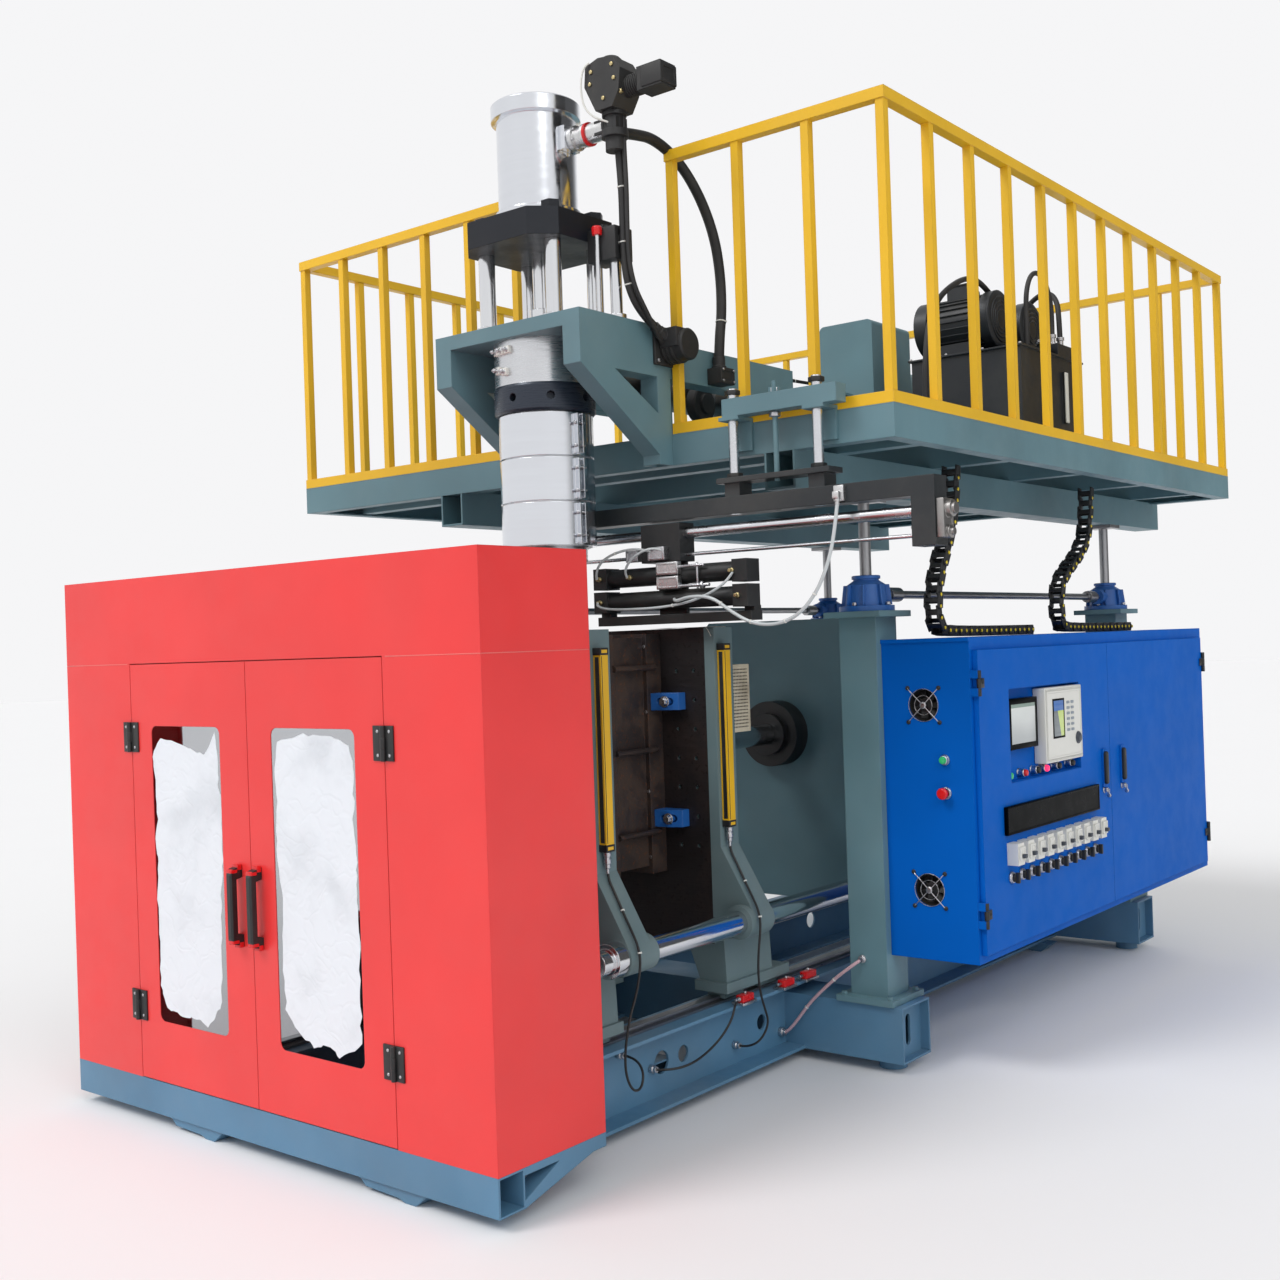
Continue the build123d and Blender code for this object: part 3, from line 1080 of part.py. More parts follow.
# Head core: collar, distributor ring with adjusting holes, body and die
with BuildPart() as head_core:
    with BuildSketch(Plane.XZ.offset(-HEAD_Y)):
        with BuildLine():
            Polyline(
                (PISTON_ROD_RADIUS + RUN, BEAM_Z[1]), (BAND_RADIUS + 8, BEAM_Z[1]),
                (BAND_RADIUS + 8, COLLAR_BOTTOM), (RING_RADIUS, COLLAR_BOTTOM - 8),
                (RING_RADIUS, RING_BOTTOM + 8),
                (RING_RADIUS - 8, RING_BOTTOM), (CORE_RADIUS, RING_BOTTOM), (CORE_RADIUS, BAND_BOTTOM),
                (CORE_RADIUS - 18, BAND_BOTTOM - 8), (CORE_RADIUS - 18, DIE_BOTTOM + 45),
                (CORE_RADIUS - 50, DIE_BOTTOM + 38), (CORE_RADIUS - 62, DIE_BOTTOM), (60, DIE_BOTTOM),
                (60, RING_BOTTOM), (PISTON_ROD_RADIUS + RUN, RING_BOTTOM),
                close=True,
            )
        make_face()
    revolve(axis=Axis((0, HEAD_Y, 0), (0, 0, 1)))
    block((-62, 62), (HEAD_Y + CORE_RADIUS, BARREL_FRONT), (BARREL_Z - 62, BARREL_Z + 62))
    for hole in range(8):
        angle = radians(45 * hole - 86)
        reach = RING_RADIUS * 1.02
        socket = Plane(
            origin=(reach * cos(angle), HEAD_Y + reach * sin(angle), RING_BOTTOM + 50),
            z_dir=(-cos(angle), -sin(angle), 0),
        )
        with BuildSketch(socket):
            RegularPolygon(15, 8)
        extrude(amount=34, mode=Mode.SUBTRACT)
save(head_core, "head_core")

# Heater bands: split rings with clamp lugs at their seams
BAND_STEP = (RING_BOTTOM - BAND_BOTTOM) / BAND_COUNT
with BuildPart() as heater_bands:
    for band in range(BAND_COUNT):
        low = BAND_BOTTOM + band * BAND_STEP + 2
        high = low + BAND_STEP - 5
        with BuildSketch(Plane.XY.offset(low)):
            with Locations((0, HEAD_Y)):
                Circle(BAND_RADIUS)
                Circle(CORE_RADIUS, mode=Mode.SUBTRACT)
        extrude(amount=high - low)
        for seam in (-8, 172):
            angle = radians(seam)
            for shift in (-11, 11):
                lug = Plane(
                    origin=(
                        (BAND_RADIUS + 8) * cos(angle) - shift * sin(angle),
                        HEAD_Y + (BAND_RADIUS + 8) * sin(angle) + shift * cos(angle),
                        low + 6,
                    ),
                    x_dir=(cos(angle), sin(angle), 0),
                    z_dir=(0, 0, 1),
                )
                with BuildSketch(lug):
                    Rectangle(24, 5)
                extrude(amount=high - low - 12)
save(heater_bands, "heater_bands")

# Head columns carry the octagonal plate with the injection cylinder
COLUMN_SPOTS = [(sx * HEAD_COLUMN_X, HEAD_Y + sy * HEAD_COLUMN_Y) for sx in (-1, 1) for sy in (-1, 1)]
with BuildPart() as head_columns:
    for x, y in COLUMN_SPOTS:
        bar_z(x, y, HEAD_COLUMN_RADIUS, BRACKET_TOP, HEAD_PLATE_BOTTOM)
        with BuildSketch(Plane.XY.offset(BRACKET_TOP)):
            with Locations((x, y)):
                RegularPolygon(HEAD_COLUMN_RADIUS + 12, 6)
        extrude(amount=20)
save(head_columns, "head_columns")

HEAD_PLATE_TOP = HEAD_PLATE_BOTTOM + HEAD_PLATE
PORT_X = INJECTION_RADIUS + 26.0
PORT_Z = 3300.0
with BuildPart() as head_top_plate:
    with BuildSketch(Plane.XY.offset(HEAD_PLATE_BOTTOM)):
        with BuildLine():
            far_x, near_x = HEAD_PLATE_X, HEAD_PLATE_X - HEAD_PLATE_CUT
            far_y, near_y = HEAD_PLATE_Y, HEAD_PLATE_Y - HEAD_PLATE_CUT
            octagon = [
                (far_x, near_y), (near_x, far_y), (-near_x, far_y), (-far_x, near_y),
                (-far_x, -near_y), (-near_x, -far_y), (near_x, -far_y), (far_x, -near_y),
            ]
            Polyline(*[(x, HEAD_Y + y) for x, y in octagon], close=True)
        make_face()
        with Locations((0, HEAD_Y)):
            Circle(PISTON_ROD_RADIUS + RUN, mode=Mode.SUBTRACT)
    extrude(amount=HEAD_PLATE)
    with BuildSketch(Plane.XY.offset(HEAD_PLATE_TOP)):
        with Locations(*COLUMN_SPOTS):
            RegularPolygon(HEAD_COLUMN_RADIUS + 7, 6)
    extrude(amount=34)
save(head_top_plate, "head_top_plate")

with BuildPart() as injection_cylinder:
    with BuildSketch(Plane.XZ.offset(-HEAD_Y)):
        with BuildLine():
            Polyline(
                (INJECTION_RADIUS - 25, HEAD_PLATE_TOP), (INJECTION_RADIUS + 12, HEAD_PLATE_TOP),
                (INJECTION_RADIUS + 12, HEAD_PLATE_TOP + 40), (INJECTION_RADIUS, HEAD_PLATE_TOP + 44),
                (INJECTION_RADIUS, INJECTION_TOP - 60), (INJECTION_RADIUS + 18, INJECTION_TOP - 56),
                (INJECTION_RADIUS + 18, INJECTION_TOP - 6), (INJECTION_RADIUS + 12, INJECTION_TOP),
                (0, INJECTION_TOP), (0, INJECTION_TOP - 40), (INJECTION_RADIUS - 25, INJECTION_TOP - 40),
                close=True,
            )
        make_face()
    revolve(axis=Axis((0, HEAD_Y, 0), (0, 0, 1)))
    block((INJECTION_RADIUS - 20, PORT_X), (HEAD_Y - 40, HEAD_Y + 40), (PORT_Z - 40, PORT_Z + 40))
save(injection_cylinder, "injection_cylinder")

# Head piston: rod with a coupling between the bracket and the octagonal plate
with BuildPart() as head_piston:
    bar_z(0, HEAD_Y, PISTON_ROD_RADIUS, RING_BOTTOM - 60, HEAD_PLATE_TOP + 60)
    bar_z(0, HEAD_Y, 44, BRACKET_TOP + 20, BRACKET_TOP + 74)
    bar_z(0, HEAD_Y, INJECTION_RADIUS - 25.05, HEAD_PLATE_TOP + 20, HEAD_PLATE_TOP + 90)
save(head_piston, "head_piston")

# Head valve: housing with a solenoid block, on the port of the injection cylinder
VALVE_X = 350.0
VALVE_Y = HEAD_Y + 10
VALVE_Z = 3450.0
with BuildPart() as head_valve:
    with BuildSketch(Plane.XZ.offset(-VALVE_Y - 55)):
        with BuildLine():
            Polyline(
                (VALVE_X - 36, VALVE_Z - 105), (VALVE_X + 36, VALVE_Z - 105), (VALVE_X + 66, VALVE_Z - 56),
                (VALVE_X + 74, VALVE_Z + 16), (VALVE_X + 44, VALVE_Z + 62), (VALVE_X - 20, VALVE_Z + 70),
                (VALVE_X - 76, VALVE_Z + 54), (VALVE_X - 82, VALVE_Z - 14),
                close=True,
            )
        make_face()
    extrude(amount=110)
    bar_x(VALVE_Y, VALVE_Z - 36, 34, VALVE_X + 60, VALVE_X + 150)
    block((VALVE_X + 132, VALVE_X + 232), (VALVE_Y - 40, VALVE_Y + 40), (VALVE_Z - 76, VALVE_Z + 2))
    bar_z(VALVE_X, VALVE_Y, 30, PORT_Z - 50, VALVE_Z - 105)
    bar_x(VALVE_Y, PORT_Z, 32, PORT_X, VALVE_X - 24)
    block((VALVE_X - 66, VALVE_X + 30), (VALVE_Y - 30, VALVE_Y + 30), (PORT_Z - 24, PORT_Z + 24))
save(head_valve, "head_valve")

# Extruder: barrel with heater bands from the collar to the gearbox, on two stands
GEARBOX_FRONT = 100.0
with BuildPart() as extruder:
    bar_y(0, BARREL_Z, 52, BARREL_FRONT, GEARBOX_FRONT)
    for zone in range(5):
        start = BARREL_FRONT + 160 + zone * 280
        bar_y(0, BARREL_Z, 74, start, start + 235)
        block((-34, 34), (start + 70, start + 165), (BARREL_Z + 73, BARREL_Z + 112))
    bar_y(0, BARREL_Z, 96, GEARBOX_FRONT - 60, GEARBOX_FRONT)
    for y in (-760, -100):
        block((-60, 60), (y - 25, y + 25), (DECK_TOP, BARREL_Z - 40))
save(extruder, "extruder")

with BuildPart() as extruder_drive:
    with BuildSketch(Plane.XZ.offset(-GEARBOX_FRONT)):
        with Locations((0, (DECK_TOP + 3010) / 2)):
            RectangleRounded(280, 3010 - DECK_TOP, 26)
    extrude(amount=-360)
    bar_y(0, BARREL_Z + 180, 130, GEARBOX_FRONT + 360, GEARBOX_FRONT + 760)
    bar_y(0, BARREL_Z + 180, 136, GEARBOX_FRONT + 700, GEARBOX_FRONT + 780)
    block((-100, 100), (GEARBOX_FRONT + 380, GEARBOX_FRONT + 700), (DECK_TOP, BARREL_Z + 70))
    # Feed throat and hopper over the barrel
    block((-75, 75), (GEARBOX_FRONT - 230, GEARBOX_FRONT - 80), (BARREL_Z + 52, BARREL_Z + 130))
save(extruder_drive, "extruder_drive")

# Hydraulic unit: oil tank with a folded lid, a valve block and a filler cap
TANK_X = (390.0, 900.0)
TANK_Y = (0.0, 640.0)
TANK_TOP = 2752.0
with BuildPart() as hydraulic_unit:
    block(TANK_X, TANK_Y, (DECK_TOP + 40, TANK_TOP))
    for y in (TANK_Y[0] + 20, TANK_Y[1] - 80):
        block((TANK_X[0] + 20, TANK_X[1] - 20), (y, y + 60), (DECK_TOP, DECK_TOP + 40))
    block((TANK_X[0] - 12, TANK_X[1] + 12), (TANK_Y[0] - 12, TANK_Y[1] + 12), (TANK_TOP, TANK_TOP + 8))
    block((800, 890), (420, 600), (TANK_TOP + 8, TANK_TOP + 70))
    bar_z(850, 360, 30, TANK_TOP + 8, TANK_TOP + 60)
    block((TANK_X[1], TANK_X[1] + 12), (430, 460), (DECK_TOP + 180, TANK_TOP - 60))
save(hydraulic_unit, "hydraulic_unit")

# Pump motors: finned barrels with a flange, a fan cowl and a terminal box, each on a foot on the lid
FIN_COUNT = 24
with BuildPart() as pump_motors:
    for x, y in ((560.0, 60.0), (560.0, 390.0)):
        z = TANK_TOP + 8 + 150
        bar_x(y + 90, z, 110, x - 130, x + 150)
        with BuildSketch(Plane.YZ.offset(x - 112)) as fins:
            with Locations((y + 90, z)):
                with PolarLocations(110, FIN_COUNT):
                    Rectangle(18, 4)
        extrude(fins.sketch, amount=250)
        bar_x(y + 90, z, 122, x - 170, x - 110)
        bar_x(y + 90, z, 126, x + 140, x + 176)
        block((x - 90, x + 110), (y + 10, y + 170), (TANK_TOP + 8, z - 90))
        block((x - 40, x + 60), (y + 45, y + 135), (z + 90, z + 168))
save(pump_motors, "pump_motors")

# Take-out crosshead on the platform's front, with the adjusting screw
ROD_SPOTS = (645.0, 975.0)
ROD_Y = -1760.0
SCREW_X = 813.0
HEAD_Z = (2300.0, 2360.0)
CROSS_X = (620.0, 1064.0)
ROD_RADIUS = 17.5
with BuildPart() as takeout_crosshead:
    block((CROSS_X[0], CROSS_X[1]), (ROD_Y - 30, ROD_Y + 30), HEAD_Z)
    for x in ROD_SPOTS:
        block((x - 40, x + 40), (ROD_Y - 30, PLATFORM_FRONT), (HEAD_Z[0] - 12, HEAD_Z[0]))
        block((x - 40, x + 40), (PLATFORM_FRONT - 12, PLATFORM_FRONT), (FRAME_BOTTOM + 15, HEAD_Z[0]))
        bar_z(x, ROD_Y, ROD_RADIUS + RUN, HEAD_Z[0] - 13, HEAD_Z[1] + 1, mode=Mode.SUBTRACT)
    bar_z(SCREW_X, ROD_Y, 9, 2070, 2400)
    with BuildSketch(Plane.XY.offset(HEAD_Z[1])):
        with Locations((SCREW_X, ROD_Y)):
            RegularPolygon(22, 6)
    extrude(amount=18)
save(takeout_crosshead, "takeout_crosshead")

# Take-out beam: hangs from two chrome rods and carries two guide bars
TAKEOUT_X = (-170.0, 1390.0)
TAKEOUT_Y = -1742.0
GUIDE_Z = 1930.0
THIN_Z = 1855.0
GUIDE_RADIUS = 19.0
THIN_RADIUS = 6.5
with BuildPart() as takeout_beam:
    tube_x((TAKEOUT_X[0], TAKEOUT_X[1] - 60), (TAKEOUT_Y - 40, TAKEOUT_Y + 40), (1975, 2035), 6)
    block((ROD_SPOTS[0] - 50, ROD_SPOTS[1] + 60), (ROD_Y - 40, ROD_Y + 45), (2078, 2096))
    for x in ROD_SPOTS:
        bar_z(x, ROD_Y, ROD_RADIUS, 2096, 2395)
        block((x - 30, x + 30), (ROD_Y - 20, TAKEOUT_Y + 35), (2035, 2078))
    bar_z(SCREW_X, ROD_Y, 9 + RUN, 2077, 2097, mode=Mode.SUBTRACT)
    bar_z(SCREW_X, ROD_Y, 11, 1970, 2040, mode=Mode.SUBTRACT)
    for x in ((TAKEOUT_X[0], TAKEOUT_X[0] + 40), (TAKEOUT_X[1] - 80, TAKEOUT_X[1])):
        block(x, (TAKEOUT_Y - 40, TAKEOUT_Y + 40), (1820, 2035 if x[0] > 0 else 1976))
    bar_x(TAKEOUT_Y, GUIDE_Z, GUIDE_RADIUS, TAKEOUT_X[0] + 20, TAKEOUT_X[1] - 20)
    bar_x(TAKEOUT_Y, THIN_Z, THIN_RADIUS, TAKEOUT_X[0] + 20, TAKEOUT_X[1] - 20)
save(takeout_beam, "takeout_beam")

# Take-out carriage: bored block, hanging plate, twin cylinders and gripper bar
with BuildPart() as takeout_carriage:
    block((250, 420), (TAKEOUT_Y - 42, TAKEOUT_Y + 42), (1832, 1965))
    bar_x(TAKEOUT_Y, GUIDE_Z, GUIDE_RADIUS + RUN, 240, 430, mode=Mode.SUBTRACT)
    bar_x(TAKEOUT_Y, THIN_Z, THIN_RADIUS + RUN, 240, 430, mode=Mode.SUBTRACT)
    block((275, 395), (TAKEOUT_Y + 20, TAKEOUT_Y + 36), (1620, 1834))
    for z in (1702, 1786):
        bar_x(TAKEOUT_Y - 12, z, 33, 60, 640)
        for x in (30, 640):
            block((x, x + 60), (TAKEOUT_Y - 50, TAKEOUT_Y + 26), (z - 38, z + 38))
    block((30, 700), (TAKEOUT_Y - 30, TAKEOUT_Y + 36), (1618, 1650))
    for x in (30, 660):
        block((x, x + 40), (TAKEOUT_Y - 10, TAKEOUT_Y + 30), (1650, 1668))
save(takeout_carriage, "takeout_carriage")

# Energy chains: two link bands from the platform down onto the cabinet's roof
CHAIN_X = (995.0, 1055.0)
CHAIN_THICK = 40.0
CHAIN_PITCH = 42.0
CHAIN_BEND = 60.0
CHAIN_WAIST = 5.0
CHAIN_LIE_Z = CABINET_TOP + 0.3 + CHAIN_THICK / 2


def chain(top_y, bend_y, lie_y):
    """A chain that drops from the platform, bends over and lies on the cabinet's roof."""
    direction = 1 if lie_y > bend_y else -1
    path = [
        (top_y, FRAME_BOTTOM - CHAIN_THICK / 2 + 1), (top_y - direction * 8, 2050),
        (top_y - direction * 60, 1900),
        (bend_y + direction * 30, 1760), (bend_y + direction * 6, 1680), (bend_y + direction * 4, 1620),
        (bend_y + direction * 26, 1575), (bend_y + direction * 70, CHAIN_LIE_Z), (lie_y, CHAIN_LIE_Z),
    ]
    with BuildSketch(Plane.YZ.offset(CHAIN_X[0])) as band:
        with BuildLine():
            route = FilletPolyline(*path, radius=CHAIN_BEND)
            offset(amount=CHAIN_THICK / 2, side=Side.BOTH)
        make_face()
        # The waist between each link and the next
        count = round(route.length / CHAIN_PITCH)
        for link in range(1, count):
            spot = route.position_at(link / count)
            along = route.tangent_at(link / count)
            for reach in (-CHAIN_THICK / 2, CHAIN_THICK / 2):
                with Locations((spot.X - reach * along.Y, spot.Y + reach * along.X)):
                    Circle(CHAIN_WAIST, mode=Mode.SUBTRACT)
    extrude(band.sketch, amount=CHAIN_X[1] - CHAIN_X[0])


with BuildPart() as energy_chains:
    chain(-930.0, -1110.0, -325.0)
    chain(343.0, -20.0, 762.0)
save(energy_chains, "energy_chains")
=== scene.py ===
"""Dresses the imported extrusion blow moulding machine: finishes, fittings, hoses, light and camera."""
from __future__ import annotations

import json
import logging
import math
from collections.abc import Callable, Sequence
from dataclasses import dataclass
from enum import Enum
from itertools import product

import bpy
from mathutils import Euler, Matrix, Vector, noise

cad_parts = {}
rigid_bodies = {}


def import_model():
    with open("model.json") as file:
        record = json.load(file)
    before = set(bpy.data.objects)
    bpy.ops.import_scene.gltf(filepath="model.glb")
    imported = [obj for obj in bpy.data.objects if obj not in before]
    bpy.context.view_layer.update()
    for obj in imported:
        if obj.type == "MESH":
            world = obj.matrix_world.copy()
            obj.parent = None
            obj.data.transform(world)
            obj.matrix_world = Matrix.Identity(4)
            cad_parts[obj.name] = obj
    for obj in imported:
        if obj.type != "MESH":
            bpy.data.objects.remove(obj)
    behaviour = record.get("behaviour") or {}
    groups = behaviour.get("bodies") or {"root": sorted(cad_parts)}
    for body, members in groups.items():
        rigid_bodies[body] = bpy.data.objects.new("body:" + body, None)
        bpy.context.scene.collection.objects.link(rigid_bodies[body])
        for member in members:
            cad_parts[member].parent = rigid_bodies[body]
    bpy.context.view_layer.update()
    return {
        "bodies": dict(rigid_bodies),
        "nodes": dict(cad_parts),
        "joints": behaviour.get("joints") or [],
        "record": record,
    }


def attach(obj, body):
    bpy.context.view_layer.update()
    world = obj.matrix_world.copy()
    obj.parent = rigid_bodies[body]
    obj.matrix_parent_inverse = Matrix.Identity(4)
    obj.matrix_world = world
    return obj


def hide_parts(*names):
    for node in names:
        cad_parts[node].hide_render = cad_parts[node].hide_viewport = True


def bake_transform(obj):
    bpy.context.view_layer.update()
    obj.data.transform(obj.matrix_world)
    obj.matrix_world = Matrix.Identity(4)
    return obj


LOG = logging.getLogger("blow_moulder")
MM = 0.001
NOISE_SEED = 7
Point = tuple[float, float, float]
Profile = Sequence[tuple[float, float]]
Colour = tuple[float, float, float, float]
Piece = bpy.types.Object


def paint(red: int, green: int, blue: int) -> Colour:
    """Turns a colour chart value, 0 to 255 a channel, into the linear colour that a shader takes."""
    shares = [value / 255 for value in (red, green, blue)]
    return (*(share / 12.92 if share <= 0.04045 else ((share + 0.055) / 1.055) ** 2.4 for share in shares), 1.0)


def dimmed(colour: Colour, share: float) -> Colour:
    """Returns a colour with its light cut to a share."""
    return (*(part * share for part in colour[:3]), 1.0)


class Axis(Enum):
    """The direction that a round or long piece points in."""

    X = (0.0, math.pi / 2, 0.0)
    Y = (math.pi / 2, 0.0, 0.0)
    Z = (0.0, 0.0, 0.0)


X, Y, Z = Axis
EAST, FRONT, TOP = (1, 0, 0), (0, -1, 0), (0, 0, 1)


class Graph:
    """A node tree, with short ways to place and wire its nodes."""

    def __init__(self, tree: bpy.types.NodeTree) -> None:
        """Wraps a tree."""
        self.tree = tree

    def add(self, kind: str, **values: object) -> bpy.types.Node:
        """Places a node and sets its own options.

        Args:
            kind: The node's type name.
            values: Options of the node, by name.

        Returns:
            The new node.
        """
        node = self.tree.nodes.new(kind)
        for name, value in values.items():
            setattr(node, name, value)
        return node

    def fill(self, socket: bpy.types.NodeSocket, value: object) -> None:
        """Gives an input a link or a plain value.

        Args:
            socket: The input.
            value: A socket or a value.
        """
        if isinstance(value, bpy.types.NodeSocket):
            self.tree.links.new(value, socket)
        else:
            socket.default_value = value

    def feed(self, node: bpy.types.Node, **values: object) -> object:
        """Fills a node's inputs by name.

        Args:
            node: The node.
            values: A socket or a value for each input, with an underscore for each space in its name.

        Returns:
            The node's outputs.
        """
        for label, value in values.items():
            self.fill(node.inputs[label.replace("_", " ")], value)
        return node.outputs

    def group(self, tree: bpy.types.NodeTree, **values: object) -> object:
        """Places a shared group, fills its inputs and returns its outputs."""
        return self.feed(self.add("ShaderNodeGroup", node_tree=tree), **values)

    def math(self, operation: str, *values: object, clamp: bool = False) -> object:
        """Places a math node.

        Args:
            operation: Blender's name for the sum.
            values: Sockets or numbers, in the node's order.
            clamp: Whether the result stays from 0 to 1.

        Returns:
            The output socket.
        """
        node = self.add("ShaderNodeMath", operation=operation, use_clamp=clamp)
        for socket, value in zip(node.inputs, values):
            self.fill(socket, value)
        return node.outputs[0]

    def times(self, first: object, second: object) -> object:
        """Multiplies two values."""
        return self.math("MULTIPLY", first, second)

    def mix(self, share: object, first: object, second: object, kind: str = "RGBA") -> object:
        """Mixes two colours or numbers.

        Args:
            share: How much of the second one shows.
            first: A socket or a value.
            second: A socket or a value.
            kind: RGBA or FLOAT.

        Returns:
            The output socket.
        """
        node = self.add("ShaderNodeMix", data_type=kind, clamp_factor=True)
        start, out = (6, 2) if kind == "RGBA" else (2, 0)
        for number, value in ((0, share), (start, first), (start + 1, second)):
            self.fill(node.inputs[number], value)
        return node.outputs[out]

    def ramp(self, value: object, low: float, high: float, start: float = 0.0, end: float = 1.0) -> object:
        """Maps a range of a value smoothly onto another range.

        Args:
            value: The socket to map.
            low: The value that gives start.
            high: The value that gives end.
            start: The lowest result.
            end: The highest result.

        Returns:
            The output socket.
        """
        node = self.add("ShaderNodeMapRange", interpolation_type="SMOOTHSTEP")
        for socket, amount in zip(node.inputs[:5], (value, low, high, start, end)):
            self.fill(socket, amount)
        return node.outputs[0]

    def place(self) -> object:
        """Returns the socket of the object's own coordinates."""
        return self.add("ShaderNodeTexCoord").outputs["Object"]

    def split(self, value: object = None) -> object:
        """Splits a vector.

        Args:
            value: The vector's socket, or nothing for the object's own coordinates.

        Returns:
            The X, Y and Z sockets.
        """
        node = self.add("ShaderNodeSeparateXYZ")
        self.fill(node.inputs[0], value or self.place())
        return node.outputs

    def noise(self, scale: object, detail: float = 4.0, rough: float = 0.55, at: object = None) -> object:
        """Places a noise over a vector, or else over the object's own coordinates, and returns its value."""
        node = self.add("ShaderNodeTexNoise")
        return self.feed(node, Vector=at or self.place(), Scale=scale, Detail=detail, Roughness=rough)["Fac"]

    def bump(self, height: object, strength: float, distance: float, normal: object = None) -> object:
        """Places a bump node, over another normal where one is given, and returns its normal."""
        values = {"Normal": normal} if normal else {}
        return self.feed(self.add("ShaderNodeBump"), Height=height, Strength=strength, Distance=distance, **values)[0]


class Effects:
    """The shader node groups that more than one finish uses, each built once."""

    def __init__(self) -> None:
        """Builds every group."""
        self.dust = self.build_dust()
        self.edges = self.build_edges()
        self.grain = self.build_grain()
        self.bloom = self.build_bloom()

    @staticmethod
    def begin(name: str, inputs: dict[str, object], *outputs: str) -> tuple[Graph, object, bpy.types.Node]:
        """Makes an empty group with named sockets.

        Args:
            name: The group's name.
            inputs: Default value of each input, by name.
            outputs: Each output's socket type and name, such as Float Cover.

        Returns:
            The graph, its given values and its output node.
        """
        group = bpy.data.node_groups.new(name, "ShaderNodeTree")
        for label, value in inputs.items():
            kind = "NodeSocketColor" if isinstance(value, tuple) else "NodeSocketFloat"
            group.interface.new_socket(label, in_out="INPUT", socket_type=kind).default_value = value
        for kind, label in map(str.split, outputs):
            group.interface.new_socket(label, in_out="OUTPUT", socket_type=f"NodeSocket{kind}")
        graph = Graph(group)
        return graph, graph.add("NodeGroupInput").outputs, graph.add("NodeGroupOutput")

    def build_dust(self) -> bpy.types.NodeTree:
        """Builds shop dust, which settles most on faces that look up.

        Returns:
            The group.
        """
        graph, given, result = self.begin(
            "shop_dust", {"Colour": paint(128, 128, 128), "Dust": paint(168, 162, 150), "Amount": 0.2, "Scale": 3.0},
            "Color Colour", "Float Cover")
        facing = graph.split(graph.add("ShaderNodeNewGeometry").outputs["Normal"])[2]
        cloud = graph.ramp(graph.noise(given["Scale"], 6.0, 0.62), 0.38, 0.72)
        settled = graph.times(cloud, graph.ramp(facing, -0.2, 1.0, 0.35, 1.0))
        cover = graph.math("MULTIPLY", settled, given["Amount"], clamp=True)
        graph.feed(result, Colour=graph.mix(cover, given["Colour"], given["Dust"]), Cover=cover)
        return graph.tree

    def build_edges(self) -> bpy.types.NodeTree:
        """Builds the rounded edge normal and the mask of its rubbed paint.

        Returns:
            The group.
        """
        graph, given, result = self.begin("soft_edges", {"Rub": 0.5, "Scale": 40.0}, "Vector Normal", "Float Rubbed")
        soft = graph.feed(graph.add("ShaderNodeBevel", samples=4), Radius=0.004)[0]
        turn = graph.add("ShaderNodeVectorMath", operation="DOT_PRODUCT")
        for socket, value in zip(turn.inputs, (soft, graph.add("ShaderNodeNewGeometry").outputs["Normal"])):
            graph.fill(socket, value)
        edge = graph.ramp(turn.outputs["Value"], 0.97, 0.75)
        worn = graph.times(edge, graph.ramp(graph.noise(given["Scale"], 5.0, 0.7), 0.52, 0.62))
        graph.feed(result, Normal=soft, Rubbed=graph.math("MULTIPLY", worn, given["Rub"], clamp=True))
        return graph.tree

    def build_grain(self) -> bpy.types.NodeTree:
        """Builds machining grain: fine lines along one axis of the piece.

        Returns:
            The group.
        """
        graph, given, result = self.begin(
            "machine_grain", {"Along X": 1.0, "Along Y": 1.0, "Along Z": 1.0, "Fineness": 300.0}, "Float Line")
        joined = graph.add("ShaderNodeCombineXYZ")
        for socket, value, stretch in zip(joined.inputs, graph.split(), given):
            graph.fill(socket, graph.times(value, stretch))
        graph.feed(result, Line=graph.noise(given["Fineness"], 3.0, 0.6, joined.outputs[0]))
        return graph.tree

    def build_bloom(self) -> bpy.types.NodeTree:
        """Builds blotches of rust, oil or dirt in two sizes.

        Returns:
            The group.
        """
        graph, given, result = self.begin("blotches", {"Scale": 6.0, "Spread": 0.5}, "Float Blotch", "Float Speck")
        edge = graph.math("SUBTRACT", 0.75, graph.times(given["Spread"], 0.4))
        blotch = graph.times(graph.math("SUBTRACT", graph.noise(given["Scale"], 8.0, 0.65), edge), 6.0)
        fine = graph.noise(graph.times(given["Scale"], 14.0), 3.0, 0.5)
        graph.feed(result, Blotch=graph.math("ADD", blotch, 0.5, clamp=True), Speck=graph.ramp(fine, 0.58, 0.7))
        return graph.tree


@dataclass(frozen=True)
class Finish:
    """What every finish has: a name, a base colour and a roughness."""

    name: str
    colour: Colour
    roughness: float = 0.4

    def build(self, effects: Effects) -> bpy.types.Material:
        """Makes the material and lays the finish on its shader.

        Args:
            effects: The shared groups.

        Returns:
            The material.
        """
        material = bpy.data.materials.new(self.name)
        material.use_nodes = True
        material.diffuse_color = self.colour
        graph = Graph(material.node_tree)
        shader = material.node_tree.nodes["Principled BSDF"]
        graph.feed(shader, Base_Color=self.colour, Roughness=self.roughness)
        self.lay(graph, shader, effects)
        return material

    def lay(self, graph: Graph, shader: bpy.types.Node, effects: Effects) -> None:
        """Wires the finish's own nodes into the shader."""
        raise NotImplementedError

    @staticmethod
    def source(shader: bpy.types.Node, label: str) -> object:
        """Returns the socket that feeds an input of the shader."""
        return shader.inputs[label].links[0].from_socket


